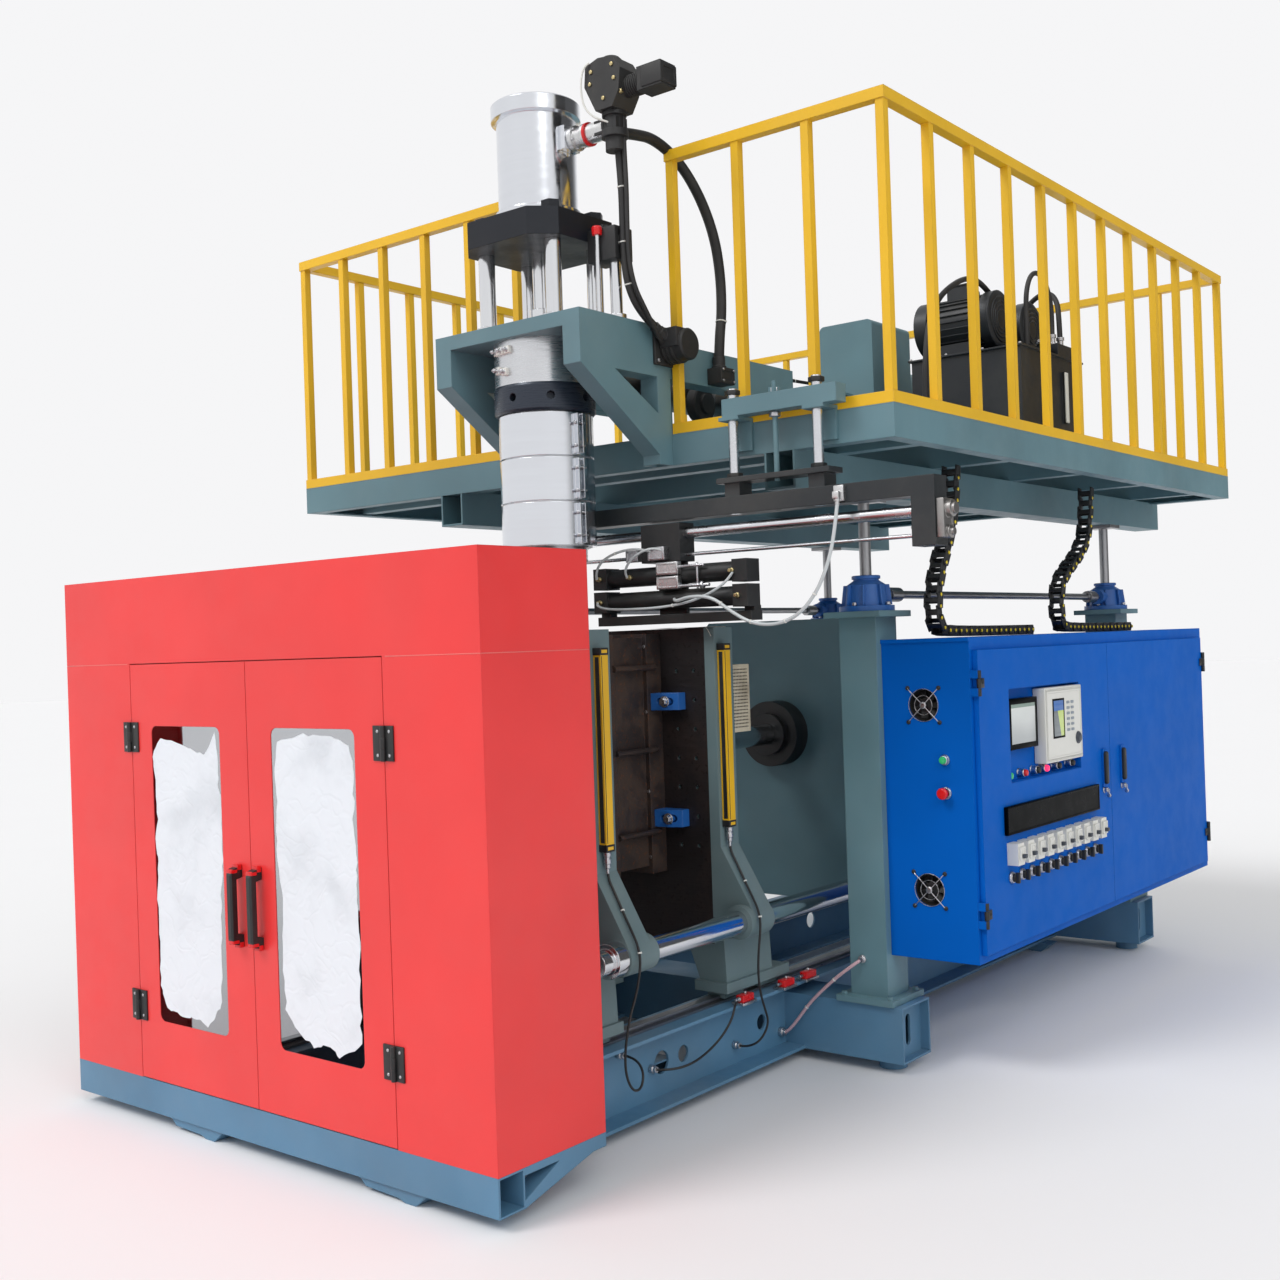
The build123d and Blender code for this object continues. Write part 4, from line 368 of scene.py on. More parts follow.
@dataclass(frozen=True)
class SprayPaint(Finish):
    """Sprayed paint on steel: orange peel, rubbed edges and a little shop dust."""

    dust: float = 0.12
    rub: float = 0.25
    peel: float = 0.12
    shade: float = 0.10
    gloss: float = 0.5
    bare: Colour = (0.16, 0.15, 0.14, 1.0)

    def lay(self, graph: Graph, shader: bpy.types.Node, effects: Effects) -> None:
        """Wires the paint.

        Args:
            graph: The material's nodes.
            shader: Its shader.
            effects: The shared groups.
        """
        edges = graph.group(effects.edges, Rub=self.rub, Scale=34.0)
        broad = graph.ramp(graph.noise(1.7, 3.0), 0.3, 0.7)
        shaded = graph.mix(broad, dimmed(self.colour, 1 - 2.2 * self.shade), self.colour)
        worn = graph.mix(edges["Rubbed"], shaded, self.bare)
        dust = graph.group(effects.dust, Colour=worn, Amount=self.dust, Scale=2.6)
        smear = graph.ramp(graph.noise(9.0, 5.0, 0.6), 0.3, 0.75, self.roughness, self.roughness + 0.14)
        graph.feed(shader, Specular_IOR_Level=self.gloss, Base_Color=dust["Colour"],
                   Roughness=graph.math("ADD", smear, dust["Cover"], clamp=True),
                   Normal=graph.bump(graph.noise(420.0, 2.0, 0.4), self.peel, 0.0006, edges["Normal"]))


@dataclass(frozen=True)
class FacedPaint(SprayPaint):
    """Painted casting with one machined face that has gone brown."""

    face: float = 0.0
    reach: float = 0.004
    half_width: float = 0.4505
    foot: float = 0.4995
    face_colour: Colour = (0.040, 0.035, 0.036, 1.0)

    def lay(self, graph: Graph, shader: bpy.types.Node, effects: Effects) -> None:
        """Wires the paint, then lays the brown face over it.

        Args:
            graph: The material's nodes.
            shader: Its shader.
            effects: The shared groups.
        """
        super().lay(graph, shader, effects)
        across, depth, height = graph.split()
        near = graph.math("COMPARE", depth, self.face, self.reach)
        inside = graph.math("LESS_THAN", graph.math("ABSOLUTE", across), self.half_width)
        mask = graph.times(graph.times(near, inside), graph.math("GREATER_THAN", height, self.foot))
        bloom = graph.group(effects.bloom, Scale=5.0, Spread=0.55)
        lines = graph.group(effects.grain, Along_X=0.05, Along_Z=1.0, Fineness=240.0)["Line"]
        brown = graph.mix(bloom["Blotch"], self.face_colour, paint(70, 60, 58))
        specked = graph.mix(graph.times(bloom["Speck"], 0.5), brown, paint(38, 32, 30))
        dull = graph.ramp(lines, 0.3, 0.7, 0.42, 0.62)
        graph.feed(shader, Base_Color=graph.mix(mask, self.source(shader, "Base Color"), specked),
                   Roughness=graph.mix(mask, self.source(shader, "Roughness"), dull, "FLOAT"),
                   Metallic=graph.times(mask, 0.75))


@dataclass(frozen=True)
class BarredPaint(SprayPaint):
    """Dark paint with chrome bars in the same casting, each found by its axis."""

    level_bars: tuple[Point, ...] = ((-1.742, 1.930, 0.0196), (-1.742, 1.855, 0.0072))
    upright_bars: tuple[Point, ...] = ((0.645, -1.760, 0.0181), (0.975, -1.760, 0.0181))

    def lay(self, graph: Graph, shader: bpy.types.Node, effects: Effects) -> None:
        """Wires the paint, then the chrome round each axis.

        Args:
            graph: The material's nodes.
            shader: Its shader.
            effects: The shared groups.
        """
        super().lay(graph, shader, effects)
        across, depth, height = graph.split()
        mask: object = 0.0
        for bars, pair in ((self.level_bars, (depth, height)), (self.upright_bars, (across, depth))):
            for *middle, radius in bars:
                squares = [graph.math("POWER", graph.math("SUBTRACT", socket, value), 2.0)
                           for socket, value in zip(pair, middle)]
                near = graph.math("LESS_THAN", graph.math("ADD", *squares), radius ** 2)
                mask = graph.math("MAXIMUM", mask, near)
        lines = graph.group(effects.grain, Along_X=0.04, Fineness=200.0)["Line"]
        bright = graph.mix(lines, (0.72, 0.73, 0.75, 1.0), (0.62, 0.63, 0.66, 1.0))
        dull = self.source(shader, "Roughness")
        graph.feed(shader, Base_Color=graph.mix(mask, self.source(shader, "Base Color"), bright), Metallic=mask,
                   Roughness=graph.math("SUBTRACT", dull, graph.times(mask, 0.2), clamp=True))


@dataclass(frozen=True)
class Steel(Finish):
    """Bare machined metal with grain, handling marks and a trace of oil."""

    grain: Point = (1.0, 1.0, 1.0)
    fineness: float = 260.0
    oil: float = 0.25
    dark: Colour = (0.12, 0.11, 0.10, 1.0)
    dent: float = 0.25

    def lay(self, graph: Graph, shader: bpy.types.Node, effects: Effects) -> None:
        """Wires the metal.

        Args:
            graph: The material's nodes.
            shader: Its shader.
            effects: The shared groups.
        """
        along = dict(zip(("Along_X", "Along_Y", "Along_Z"), self.grain))
        lines = graph.group(effects.grain, Fineness=self.fineness, **along)["Line"]
        blotch = graph.group(effects.bloom, Scale=7.0, Spread=self.oil)["Blotch"]
        marked = graph.mix(graph.times(blotch, self.oil), self.colour, self.dark)
        streak = graph.ramp(lines, 0.3, 0.7, self.roughness * 0.8, self.roughness * 1.35)
        soft = graph.group(effects.edges, Rub=0.0, Scale=30.0)["Normal"]
        graph.feed(shader, Metallic=1.0, Normal=graph.bump(lines, self.dent, 0.0003, soft),
                   Base_Color=graph.mix(graph.times(lines, 0.5), marked, dimmed(self.colour, 0.82)),
                   Roughness=graph.math("ADD", streak, graph.times(blotch, 0.12), clamp=True))


@dataclass(frozen=True)
class RingedSteel(Steel):
    """Turned steel with one dark-painted band between two heights."""

    band: tuple[float, float] = (0.0, 0.0)
    band_colour: Colour = (0.03, 0.04, 0.05, 1.0)

    def lay(self, graph: Graph, shader: bpy.types.Node, effects: Effects) -> None:
        """Wires the steel, then the dark band.

        Args:
            graph: The material's nodes.
            shader: Its shader.
            effects: The shared groups.
        """
        super().lay(graph, shader, effects)
        low, high = self.band
        mask = graph.math("COMPARE", graph.split()[2], (low + high) / 2, (high - low) / 2)
        graph.feed(shader, Base_Color=graph.mix(mask, self.source(shader, "Base Color"), self.band_colour),
                   Metallic=graph.math("SUBTRACT", 1.0, graph.times(mask, 0.7)))


@dataclass(frozen=True)
class RustyIron(Finish):
    """Ground iron blocks that have gone brown, with darker oil and orange specks."""

    second: Colour = (0.085, 0.055, 0.042, 1.0)

    def lay(self, graph: Graph, shader: bpy.types.Node, effects: Effects) -> None:
        """Wires the iron.

        Args:
            graph: The material's nodes.
            shader: Its shader.
            effects: The shared groups.
        """
        bloom = graph.group(effects.bloom, Scale=8.0, Spread=0.6)
        lines = graph.group(effects.grain, Along_X=1.0, Along_Y=0.06, Along_Z=0.06, Fineness=320.0)["Line"]
        blotched = graph.mix(bloom["Blotch"], self.colour, self.second)
        lined = graph.mix(graph.times(lines, 0.5), blotched, paint(70, 62, 60))
        soft = graph.group(effects.edges, Rub=0.0, Scale=30.0)["Normal"]
        graph.feed(shader, Metallic=0.65, Normal=graph.bump(lines, 0.3, 0.0004, soft),
                   Base_Color=graph.mix(graph.times(bloom["Speck"], 0.6), lined, paint(120, 72, 44)),
                   Roughness=graph.ramp(bloom["Blotch"], 0.0, 1.0, 0.42, 0.7))


@dataclass(frozen=True)
class Plastic(Finish):
    """Moulded plastic or rubber: fine spark texture, dust and soft sheen changes."""

    texture: float = 0.25
    dust: float = 0.10
    coarse: float = 700.0
    gloss: float = 0.5

    def lay(self, graph: Graph, shader: bpy.types.Node, effects: Effects) -> None:
        """Wires the plastic.

        Args:
            graph: The material's nodes.
            shader: Its shader.
            effects: The shared groups.
        """
        dust = graph.group(effects.dust, Colour=self.colour, Dust=paint(150, 146, 138), Amount=self.dust, Scale=8.0)
        soft = graph.group(effects.edges, Rub=0.0, Scale=30.0)["Normal"]
        handled = graph.ramp(graph.noise(16.0, 4.0), 0.3, 0.7, self.roughness * 0.85, self.roughness * 1.2)
        graph.feed(shader, Specular_IOR_Level=self.gloss, Base_Color=dust["Colour"], Roughness=handled,
                   Normal=graph.bump(graph.noise(self.coarse, 2.0, 0.5), self.texture, 0.0003, soft))


@dataclass(frozen=True)
class Acrylic(Finish):
    """Clear sheet with fine scratches and smears."""

    def lay(self, graph: Graph, shader: bpy.types.Node, effects: Effects) -> None:
        """Wires the clear sheet.

        Args:
            graph: The material's nodes.
            shader: Its shader.
            effects: The shared groups.
        """
        lines = graph.group(effects.grain, Along_X=1.0, Along_Y=1.0, Along_Z=0.08, Fineness=90.0)["Line"]
        graph.feed(shader, Transmission_Weight=1.0, IOR=1.05, Normal=graph.bump(graph.noise(3.0, 3.0), 0.15, 0.004),
                   Roughness=graph.ramp(lines, 0.35, 0.75, 0.03, self.roughness))


@dataclass(frozen=True)
class Film(Finish):
    """Thin white film or paper, crumpled and slightly grey in its folds."""

    crease: float = 0.6
    grey: Colour = (0.55, 0.58, 0.62, 1.0)
    scale: float = 11.0

    def lay(self, graph: Graph, shader: bpy.types.Node, effects: Effects) -> None:
        """Wires the film.

        Args:
            graph: The material's nodes.
            shader: Its shader.
            effects: The shared groups.
        """
        warp = graph.add("ShaderNodeVectorMath", operation="ADD")
        cloud = graph.feed(graph.add("ShaderNodeTexNoise"), Vector=graph.place(), Scale=6.0)["Color"]
        for socket, value in zip(warp.inputs, (graph.place(), cloud)):
            graph.fill(socket, value)
        folds = graph.feed(graph.add("ShaderNodeTexVoronoi", feature="DISTANCE_TO_EDGE"), Vector=warp.outputs[0],
                           Scale=self.scale)["Distance"]
        ridge = graph.ramp(folds, 0.0, 0.18)
        stain = graph.ramp(graph.noise(5.0, 5.0), 0.45, 0.8, 0.0, 0.6)
        graph.feed(shader, Base_Color=graph.mix(stain, self.colour, self.grey),
                   Roughness=graph.ramp(ridge, 0.0, 1.0, self.roughness * 0.8, self.roughness),
                   Normal=graph.bump(ridge, self.crease, 0.004))


@dataclass(frozen=True)
class Lamp(Finish):
    """A small lit lens."""

    power: float = 2.0

    def lay(self, graph: Graph, shader: bpy.types.Node, effects: Effects) -> None:
        """Wires the lit lens."""
        lit = graph.mix(graph.ramp(graph.noise(160.0, 2.0), 0.3, 0.7), dimmed(self.colour, 0.8), self.colour)
        graph.feed(shader, Base_Color=lit, Emission_Color=lit, Emission_Strength=self.power)


@dataclass(frozen=True)
class Display(Finish):
    """A lit screen: a bar at its top and, as a chart, dark ground with a slanting edge."""

    low: float = 0.0
    high: float = 1.0
    chart: bool = False

    def lay(self, graph: Graph, shader: bpy.types.Node, effects: Effects) -> None:
        """Wires the screen from its height and breadth.

        Args:
            graph: The material's nodes.
            shader: Its shader.
            effects: The shared groups.
        """
        across, depth, height = graph.split()
        share = graph.ramp(height, self.low, self.high)
        if self.chart:
            slant = graph.math("ADD", depth, graph.times(height, 0.30))
            ground = graph.mix(graph.math("GREATER_THAN", slant, -0.1615), paint(92, 100, 104), self.colour)
            shown = graph.mix(graph.math("GREATER_THAN", share, 0.8), ground, paint(40, 96, 170))
        else:
            ground = graph.mix(share, paint(150, 154, 156), self.colour)
            shown = graph.mix(graph.math("GREATER_THAN", share, 0.97), ground, paint(120, 140, 130))
        lines = graph.group(effects.grain, Along_Y=0.05, Fineness=90.0)["Line"]
        lit = graph.mix(graph.times(lines, 0.25), shown, paint(190, 196, 196))
        graph.feed(shader, Base_Color=lit, Emission_Color=lit, Emission_Strength=0.25)


FINISHES = (
    SprayPaint("guard_red", paint(236, 56, 56), 0.30, dust=0.05, rub=0.10, shade=0.04),
    # The next finish is a lighter red than the guard's: a painted highlight on the strips along the panel seams.
    SprayPaint("seam_highlight_red", paint(246, 120, 116), 0.36, dust=0.02, rub=0.05, shade=0.04),
    SprayPaint("base_grey", paint(88, 134, 166), 0.42, dust=0.16, rub=0.35),
    SprayPaint("frame_green", paint(100, 136, 146), 0.40, dust=0.12, rub=0.30),
    SprayPaint("rail_yellow", paint(236, 186, 26), 0.34, dust=0.06, rub=0.20, shade=0.05),
    SprayPaint("cabinet_blue", paint(2, 94, 190), 0.42, dust=0.0, rub=0.12, shade=0.03, gloss=0.06),
    SprayPaint("jack_blue", paint(30, 98, 176), 0.30, dust=0.13, rub=0.30),
    SprayPaint("unit_dark", paint(20, 27, 34), 0.36),
    SprayPaint("plate_dark", paint(24, 28, 36), 0.38, dust=0.05, rub=0.30, gloss=0.3),
    SprayPaint("black_metal", paint(24, 26, 28), 0.38, dust=0.14),
    SprayPaint("cast_black", paint(30, 31, 33), 0.5, dust=0.16, rub=0.30, peel=0.5),
    BarredPaint("beam_paint", paint(34, 40, 44), 0.34, dust=0.18, rub=0.35),
    SprayPaint("curtain_yellow", paint(238, 186, 20), 0.36, dust=0.05, rub=0.10),
    FacedPaint("platen_front_paint", paint(102, 124, 128), 0.42, dust=0.16, face=-2.266),
    FacedPaint("platen_rear_paint", paint(102, 124, 128), 0.42, dust=0.16, face=-1.704),
    Steel("bare_steel", (0.36, 0.36, 0.37, 1.0), 0.34, grain=(1.0, 0.04, 1.0)),
    Steel("bar_chrome", (0.74, 0.75, 0.77, 1.0), 0.12, grain=(1.0, 0.02, 1.0), oil=0.12, dent=0.08),
    Steel("rod_chrome", (0.76, 0.77, 0.79, 1.0), 0.12, grain=(1.0, 1.0, 0.02), oil=0.10, dent=0.08),
    Steel("band_steel", (0.76, 0.78, 0.82, 1.0), 0.15, grain=(0.05, 0.05, 1.0), oil=0.04, fineness=40.0, dent=0.02),
    Steel("bolt_steel", (0.56, 0.56, 0.58, 1.0), 0.28),
    Steel("fitting_steel", (0.66, 0.66, 0.66, 1.0), 0.30, oil=0.1, dent=0.1),
    Steel("machined_plate", (0.34, 0.33, 0.32, 1.0), 0.36, oil=0.35),
    Steel("brass", (0.56, 0.46, 0.24, 1.0), 0.32, oil=0.2),
    RingedSteel("head_steel", (0.66, 0.67, 0.69, 1.0), 0.28, grain=(0.05, 0.05, 1.0), oil=0.12,
                band=(2.3575, 2.4555), band_colour=paint(44, 52, 64)),
    RustyIron("mould_iron", paint(66, 60, 61)),
    Plastic("black_plastic", paint(26, 27, 29), 0.45),
    Plastic("black_gloss", paint(6, 8, 10), 0.30, dust=0.0, texture=0.02, gloss=0.03),
    Plastic("key_grey", paint(150, 160, 170), dust=0.03),
    Plastic("key_dark", paint(64, 70, 80), dust=0.05),
    Plastic("conduit_pink", paint(198, 164, 172), 0.34, dust=0.08),
    Plastic("black_rubber", paint(22, 22, 24), 0.55, dust=0.16),
    Plastic("pale_plastic", paint(224, 224, 218), 0.36, dust=0.04),
    Plastic("signal_red", paint(214, 26, 30), 0.28, dust=0.03),
    Plastic("chain_yellow", paint(226, 200, 30), dust=0.05),
    Plastic("clear_hose", paint(196, 202, 204), 0.22),
    Acrylic("window_clear", (0.52, 0.53, 0.55, 1.0), 0.12),
    Film("torn_film", paint(226, 230, 236), 0.45, scale=5.0, crease=0.2),
    Film("stained_cover", paint(206, 196, 172), 0.6, grey=paint(120, 104, 82), scale=16.0, crease=0.1),
    Film("stained_paper", paint(236, 232, 222), 0.7, grey=paint(180, 160, 130), scale=5.0),
    Lamp("green_lamp", paint(40, 150, 90), 0.3, power=0.6),
    Lamp("red_lamp", paint(250, 40, 90), 0.3, power=1.6),
    Display("screen_light", paint(206, 210, 208), 0.2, low=1.142, high=1.289),
    Display("display_chart", paint(176, 196, 92), 0.2, low=1.149, high=1.284, chart=True),
)

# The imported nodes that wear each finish
NODES = {
    "base_grey": "base_frame levelling_feet sync_bracket",
    "frame_green": "columns cylinder_plate platform_frame platform_deck head_bracket extruder_drive"
                   " takeout_crosshead",
    "bare_steel": "slide_rails sync_pinion link_shaft_left link_shaft_right extruder jack_screws",
    "jack_blue": "screw_jacks mould_clamps",
    "guard_red": "guard_shell guard_door_left guard_door_right",
    "black_metal": "guard_hinges clamp_cylinder takeout_carriage",
    "cabinet_blue": "cabinet_shell cabinet_door_left cabinet_door_right control_panel",
    "bolt_steel": "fan_guards",
    "platen_front_paint": "platen_front",
    "platen_rear_paint": "platen_rear",
    "bar_chrome": "tie_bars clamp_rod",
    "curtain_yellow": "light_curtain_front light_curtain_rear",
    "mould_iron": "mould_front mould_rear",
    "window_clear": "guard_window_left guard_window_right",
    "black_plastic": "guard_handle_left guard_handle_right cabinet_handle_left cabinet_handle_right"
                     " fan_rotor_lower fan_rotor_upper energy_chains",
    "pale_plastic": "control_row",
    "signal_red": "emergency_stop",
    "rail_yellow": "handrail_left handrail_right",
    "head_steel": "head_core",
    "band_steel": "heater_bands injection_cylinder",
    "rod_chrome": "head_columns head_piston",
    "plate_dark": "head_top_plate",
    "cast_black": "head_valve",
    "unit_dark": "hydraulic_unit pump_motors",
    "beam_paint": "takeout_beam",
}


class Palette:
    """Every finish of the machine, built once and found by name."""

    materials: dict[str, bpy.types.Material] = {}

    @classmethod
    def fill(cls) -> None:
        """Builds the shared effects and then the finishes."""
        effects = Effects()
        cls.materials = {finish.name: finish.build(effects) for finish in FINISHES}

    @classmethod
    def put(cls, piece: Piece, finish: str) -> None:
        """Gives a piece one finish alone."""
        piece.data.materials.clear()
        piece.data.materials.append(cls.materials[finish])

    @classmethod
    def dress_nodes(cls, nodes: dict[str, Piece]) -> None:
        """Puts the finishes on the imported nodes.

        Args:
            nodes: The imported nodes, by name.
        """
        for finish, names in NODES.items():
            for name in names.split():
                cls.put(nodes[name], finish)
                LOG.info("finish %s on %s", finish, name)


@dataclass
class Studio:
    """Floor, light and camera."""

    floor_radius: float = 60.0
    floor_colour: Colour = (0.86, 0.86, 0.87, 1.0)
    sky_colour: Colour = (0.92, 0.92, 0.93, 1.0)
    sky_light: float = 0.62
    hall_dark: float = 0.10
    hall_bearing: float = 3.82
    hall_edge: tuple[float, float] = (-0.98, -0.55)
    lamps: tuple[tuple[str, float, float, float, float], ...] = (
        ("key_lamp", -22.0, 48.0, 1.35, 24.0), ("fill_lamp", 62.0, 40.0, 0.75, 40.0))
    eye: Point = (3.412, -5.733, 1.55)
    yaw: float = 38.86
    pitch: float = 0.16
    roll: float = -1.95
    lens: float = 40.42
    sensor: float = 36.0
    sight: float = 200.0

    def build(self) -> None:
        """Makes all of the studio."""
        self.lay_floor()
        self.light_world()
        self.hang_lamps()
        self.set_camera()

    def lay_floor(self) -> None:
        """Lays the pale floor."""
        bpy.ops.object.select_all(action="DESELECT")
        bpy.ops.mesh.primitive_circle_add(vertices=64, radius=self.floor_radius, fill_type="NGON")
        floor = bpy.context.object
        floor.name = "studio_floor"
        material = bpy.data.materials.new("studio_floor")
        material.use_nodes = True
        graph = Graph(material.node_tree)
        tone = graph.mix(graph.noise(0.8, 3.0), self.floor_colour, dimmed(self.floor_colour, 0.985))
        graph.feed(material.node_tree.nodes["Principled BSDF"], Base_Color=tone, Roughness=0.7,
                   Specular_IOR_Level=0.15)
        floor.data.materials.append(material)

    def light_world(self) -> None:
        """Lights from the whole sky, and shows it pale to the eye and dark on one side in gloss."""
        world = bpy.data.worlds.new("studio_sky")
        bpy.context.scene.world = world
        world.use_nodes = True
        graph = Graph(world.node_tree)
        east, north, _ = graph.split(graph.add("ShaderNodeTexCoord").outputs["Generated"])
        turned_by = graph.math("ADD", graph.math("ARCTAN2", north, east), self.hall_bearing)
        hall = graph.ramp(graph.math("SINE", turned_by), *self.hall_edge, self.hall_dark, 1.0)
        path = graph.add("ShaderNodeLightPath").outputs
        sharp = graph.math("MAXIMUM", path["Is Camera Ray"], path["Is Transmission Ray"])
        last = graph.feed(world.node_tree.nodes["Background"], Color=(1.0, 1.0, 1.0, 1.0), Strength=self.sky_light)[0]
        for share, strength in ((path["Is Glossy Ray"], hall), (sharp, 1.0)):
            light = graph.feed(graph.add("ShaderNodeBackground"), Color=self.sky_colour, Strength=strength)[0]
            blend = graph.add("ShaderNodeMixShader")
            for socket, value in zip(blend.inputs, (share, last, light)):
                graph.fill(socket, value)
            last = blend.outputs[0]
        graph.feed(world.node_tree.nodes["World Output"], Surface=last)

    def hang_lamps(self) -> None:
        """Hangs a broad key lamp in front and a weak one at the right."""
        for name, heading, tilt, strength, spread in self.lamps:
            data = bpy.data.lights.new(name, "SUN")
            data.energy = strength
            data.angle = math.radians(spread)
            lamp = bpy.data.objects.new(name, data)
            lamp.rotation_euler = Euler((math.radians(90.0 - tilt), 0.0, math.radians(heading)))
            bpy.context.scene.collection.objects.link(lamp)

    def set_camera(self) -> None:
        """Stands the camera where the photograph was taken from."""
        yaw, pitch, roll = (math.radians(angle) for angle in (self.yaw, self.pitch, self.roll))
        view = Vector((-math.sin(yaw) * math.cos(pitch), math.cos(yaw) * math.cos(pitch), math.sin(pitch)))
        level = Vector((math.cos(yaw), math.sin(yaw), 0.0))
        above = level.cross(view)
        right = math.cos(roll) * level + math.sin(roll) * above
        top = -math.sin(roll) * level + math.cos(roll) * above
        data = bpy.data.cameras.new("photo_camera")
        data.lens, data.sensor_width, data.clip_end = self.lens, self.sensor, self.sight
        camera = bpy.data.objects.new("photo_camera", data)
        camera.matrix_world = Matrix.Translation(self.eye) @ Matrix((right, top, -view)).transposed().to_4x4()
        bpy.context.scene.collection.objects.link(camera)
        bpy.context.scene.camera = camera
        bpy.context.scene.view_settings.view_transform = "Standard"


def clear() -> None:
    """Leaves edit mode and deselects everything."""
    active = bpy.context.view_layer.objects.active
    if active is not None and active.mode != "OBJECT":
        bpy.ops.object.mode_set(mode="OBJECT")
    bpy.ops.object.select_all(action="DESELECT")


def settle() -> Piece:
    """Puts the active piece's place into its mesh and returns it."""
    bpy.ops.object.transform_apply(location=True, rotation=True, scale=True)
    return bpy.context.object


def pick(piece: Piece, test: Callable[[Vector, Vector], bool]) -> None:
    """Selects faces of a piece in edit mode.

    Args:
        piece: The piece.
        test: Says whether a face with this middle, in millimetres, and this normal is taken.
    """
    bpy.context.tool_settings.mesh_select_mode = (False, False, True)
    for part in (*piece.data.vertices, *piece.data.edges):
        part.select = False
    for face in piece.data.polygons:
        face.select = test(face.center / MM, face.normal)
    bpy.ops.object.mode_set(mode="EDIT")


def leave(outward: bool = False) -> None:
    """Leaves edit mode, and first turns the normals outward where that is asked.

    Args:
        outward: Whether the normals are turned.
    """
    if outward:
        bpy.ops.mesh.select_all(action="SELECT")
        bpy.ops.mesh.normals_make_consistent(inside=False)
    bpy.ops.object.mode_set(mode="OBJECT")


def sunk(piece: Piece, facing: Point, rim: float, depth: float) -> Piece:
    """Insets the face of a piece that looks one way and presses it in.

    Args:
        piece: The piece.
        facing: The way that the face looks.
        rim: Width of the rim that stays, in millimetres.
        depth: How far it goes in, or out where it is negative.

    Returns:
        The same piece.
    """
    pick(piece, lambda middle, normal: normal.dot(Vector(facing)) > 0.999)
    bpy.ops.mesh.inset(thickness=rim * MM, depth=0.0)
    bpy.ops.mesh.inset(thickness=0.4 * MM, depth=-depth * MM)
    leave()
    return piece


def block(low: Point, high: Point, bevel: float = 1.5, *dents: tuple[Point, float, float]) -> Piece:
    """Makes a block with rounded edges.

    Args:
        low: One corner, in millimetres.
        high: The other corner.
        bevel: Width of the rounding.
        dents: Facing, rim and depth of each face that is sunk.

    Returns:
        The block.
    """
    clear()
    bpy.ops.mesh.primitive_cube_add(size=1.0, location=[(a + b) / 2 * MM for a, b in zip(low, high)],
                                    scale=[(b - a) * MM for a, b in zip(low, high)])
    piece = settle()
    bpy.ops.object.mode_set(mode="EDIT")
    bpy.ops.mesh.select_all(action="SELECT")
    bpy.ops.mesh.bevel(offset=bevel * MM, segments=2, profile=0.6)
    leave()
    for dent in dents:
        sunk(piece, *dent)
    return piece


def bar(centre: Point, radius: float, length: float, axis: Axis = Z, bevel: float = 1.0, sides: int = 6) -> Piece:
    """Makes a round or hexagonal bar with rounded rims.

    Args:
        centre: Its centre, in millimetres.
        radius: Its radius.
        length: Its length.
        axis: Its axis.
        bevel: Width of the rounding.
        sides: Its corners.

    Returns:
        The bar.
    """
    clear()
    bpy.ops.mesh.primitive_cylinder_add(vertices=sides, radius=radius * MM, depth=length * MM,
                                        location=[value * MM for value in centre], rotation=axis.value)
    piece = settle()
    bpy.ops.object.mode_set(mode="EDIT")
    bpy.ops.mesh.select_all(action="DESELECT")
    bpy.ops.mesh.edges_select_sharp(sharpness=math.radians(50))
    bpy.ops.mesh.bevel(offset=bevel * MM, segments=2, profile=0.5)
    leave()
    return piece


def turned(base: Point, steps: Profile, axis: Axis = Z, sides: int = 24, toward: float = 1.0) -> Piece:
    """Turns a piece by drawing its end face out and widening it.

    Args:
        base: Centre of the first ring, in millimetres.
        steps: Distance from the base and radius of each ring.
        axis: The axis of the piece.
        sides: Corners of each ring.
        toward: 1 or -1, the way it grows along the axis.

    Returns:
        The turned piece.
    """
    clear()
    bpy.ops.mesh.primitive_circle_add(vertices=sides, radius=steps[0][1] * MM, fill_type="NGON",
                                      location=[value * MM for value in base], rotation=axis.value)
    settle()
    course = Euler(axis.value).to_matrix() @ Vector((0.0, 0.0, toward))
    bpy.context.tool_settings.mesh_select_mode = (False, False, True)
    bpy.ops.object.mode_set(mode="EDIT")
    bpy.ops.mesh.select_all(action="SELECT")
    for (rise, wide), (higher, wider) in zip(steps, steps[1:]):
        bpy.ops.mesh.extrude_region_move(TRANSFORM_OT_translate={"value": course * ((higher - rise) * MM)})
        bpy.ops.transform.resize(value=(wider / wide,) * 3, center_override=(Vector(base) + course * higher) * MM)
    leave(outward=True)
    return bpy.context.object


def ring(spot: Point, radius: float, wire: float, axis: Axis, around: int) -> Piece:
    """Makes a wire ring.

    Args:
        spot: Its middle, in millimetres.
        radius: Its radius.
        wire: The wire's radius.
        axis: Its axis.
        around: Its corners.

    Returns:
        The ring.
    """
    clear()
    bpy.ops.mesh.primitive_torus_add(major_radius=radius * MM, minor_radius=wire * MM, major_segments=around,
                                     minor_segments=6, location=[value * MM for value in spot], rotation=axis.value)
    return settle()


def copies(master: Piece, places: Sequence[Matrix]) -> list[Piece]:
    """Copies a piece to places and takes the first one away.

    Args:
        master: The piece.
        places: Each copy's place, in metres.

    Returns:
        The copies.
    """
    made = []
    for place in places:
        twin = master.copy()
        twin.data = master.data.copy()
        twin.data.transform(place)
        bpy.context.scene.collection.objects.link(twin)
        made.append(twin)
    bpy.data.objects.remove(master)
    return made


def row(master: Piece, *shifts: Point) -> list[Piece]:
    """Copies a piece by a row of shifts in millimetres."""
    return copies(master, [Matrix.Translation(Vector(shift) * MM) for shift in shifts])


